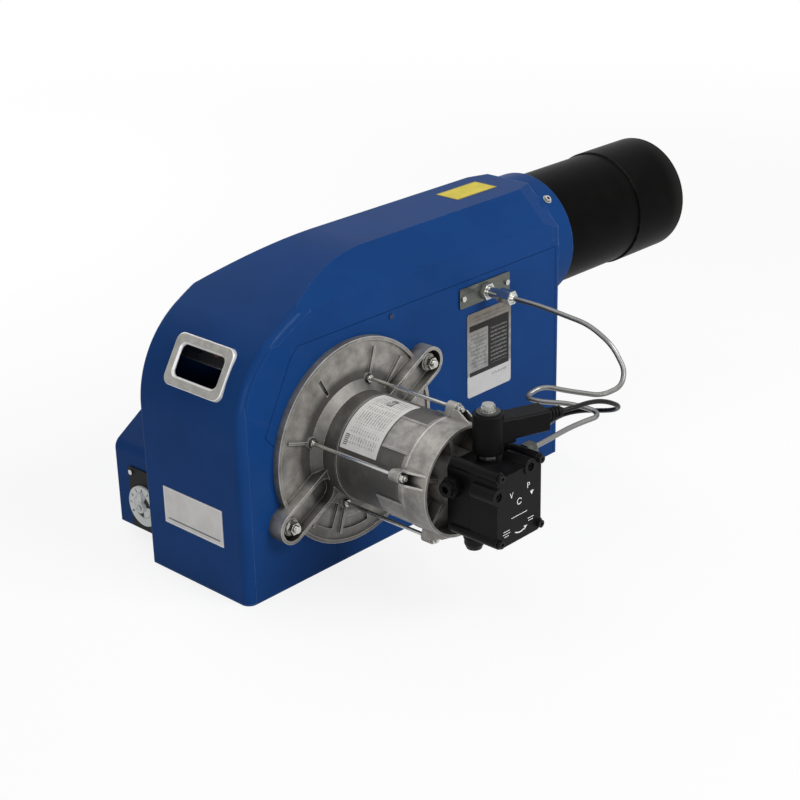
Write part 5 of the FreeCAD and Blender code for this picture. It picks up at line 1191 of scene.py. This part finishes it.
class BURNER_OT_prints(Piece):
    """Prints the data plate, the rear plate, the motor label and the plain top label."""
    bl_idname = "burner.prints"
    bl_label = "Print plates"

    def make(self, scene):
        shades = scene.burner_print
        wear(label_finish(shades.label, shades.ink), "motor_label")
        wear(data_plate_finish(shades.plate, shades.ink), "data_plate")
        wear(rear_plate_finish(shades.rear, shades.ink), "back_plate")
        wear(top_label_finish(shades.top_label), "top_label")


class BURNER_OT_damper(Piece):
    """Finishes the air damper with its dial, and prints the dial's numbers."""
    bl_idname = "burner.damper"
    bl_label = "Finish damper"

    # Height of the damper's axis, and distance of the printed face from the dial's far side
    centre_z = 0.048
    face_depth = 0.003
    # The numbers from 0 on: count, radius, size, first angle and step in degrees
    number_count, number_radius, number_size, number_start, number_step = 9, 0.0205, 0.0065, 210.0, 30.0
    tick_count, tick_radius, tick_long, tick_wide = 36, 0.0148, 0.0022, 0.00035
    # Two dark wedges: first angles, angle, radius and width
    wedge_starts, wedge_angle, wedge_radius, wedge_width = (5.0, 215.0), 60.0, 0.0102, 0.0080

    def make(self, scene):
        wear(moulded("dial_plate_black", (0.010, 0.011, 0.011), low=0.40, gloss=0.10), "dial_plate")
        wear(moulded("dial_grey", (0.60, 0.62, 0.61), low=0.36, gloss=0.3), "damper_dial")
        wear(brushed("flap_galvanised", (0.36, 0.37, 0.38), (1.0, 8.0, 8.0), 0.34), "damper_flap")
        ink = moulded("dial_ink", (0.02, 0.02, 0.02), low=0.5, gloss=0.3)
        thickness = scene.burner_print.mark_thickness
        centre_y = (dial_low[1] + dial_high[1]) / 2
        face = dial_high[0] - self.face_depth - thickness * MARK_LIFT
        drawings = []
        for number in range(self.number_count):
            turn = math.radians(self.number_start - self.number_step * number)
            y, z = math.cos(turn), math.sin(turn)
            centre = (face, centre_y + self.number_radius * y, self.centre_z + self.number_radius * z)
            drawings.append((lettering(str(number), self.number_size, thickness),
                             facing((-1, 0, 0), (0, y, z), centre)))
        level = facing((-1, 0, 0), (0, 0, 1), (face, centre_y, self.centre_z))
        drawings.append((ring_pattern().mesh({"Count": self.tick_count, "Radius": self.tick_radius,
                                              "Size": (self.tick_long, self.tick_wide, thickness),
                                              "Material": ink.material}), level))
        for turn in self.wedge_starts:
            wedge = arc_band(self.wedge_radius, self.wedge_width, turn, turn + self.wedge_angle, steps=12)
            drawings.append((outline_plate(wedge, thickness), level))
        new_piece("dial_marks", joined("dial_marks", drawings), "damper", ink)


class BURNER_OT_inside(Piece):
    """Finishes what lies inside: control, transformer, air path and combustion head."""
    bl_idname = "burner.inside"
    bl_label = "Finish inside"

    def make(self, scene):
        wear(brushed("inner_galvanised", (0.33, 0.34, 0.35), (1.0, 6.0, 6.0), 0.36), "fan_scroll",
             "scroll_plate", "fan_wheel", "control_shelf")
        wear(moulded("control_black", (0.022, 0.022, 0.026), low=0.40, gloss=0.35), "control_box",
             "flame_sensor")
        wear(moulded("transformer_case", (0.05, 0.05, 0.055), low=0.5, gloss=0.3), "ignition_transformer")
        wear(button_finish(), "reset_button")
        wear(heat_finish(), "flame_disc", "head_brackets", "electrode_rods")
        wear(ceramic_finish(), "electrode_ceramics")
        wear(brushed("nozzle_brass", (0.50, 0.33, 0.10), (20.0, 1.0, 1.0), 0.24), "nozzle")


OPERATORS = (
    BURNER_OT_stage, BURNER_OT_cable, BURNER_OT_housing, BURNER_OT_tube, BURNER_OT_castings, BURNER_OT_motor,
    BURNER_OT_weld, BURNER_OT_threads, BURNER_OT_pump, BURNER_OT_pump_marks, BURNER_OT_valve, BURNER_OT_line,
    BURNER_OT_prints, BURNER_OT_damper, BURNER_OT_inside,
)


class BURNER_PT_sidebar(bpy.types.Panel):
    """Lists the burner's pieces and the settings they use."""
    bl_idname = "BURNER_PT_sidebar"
    bl_label = "Diesel burner"
    bl_space_type = "VIEW_3D"
    bl_region_type = "UI"
    bl_category = "Burner"

    def draw(self, context):
        for name, group in GROUPS.items():
            box = self.layout.box()
            box.label(text=group.__doc__)
            for key in group.__annotations__:
                box.prop(getattr(context.scene, name), key)
        for operator in OPERATORS:
            self.layout.operator(operator.bl_idname)


CLASSES = (*GROUPS.values(), *OPERATORS, BURNER_PT_sidebar)


def register():
    for made in CLASSES:
        bpy.utils.register_class(made)
    for name, group in GROUPS.items():
        setattr(bpy.types.Scene, name, PointerProperty(type=group))


def unregister():
    for name in GROUPS:
        delattr(bpy.types.Scene, name)
    for made in reversed(CLASSES):
        bpy.utils.unregister_class(made)


def main():
    register()
    for operator in OPERATORS:
        family, name = operator.bl_idname.split(".")
        getattr(getattr(bpy.ops, family), name)()


if __name__ == "__main__":
    main()
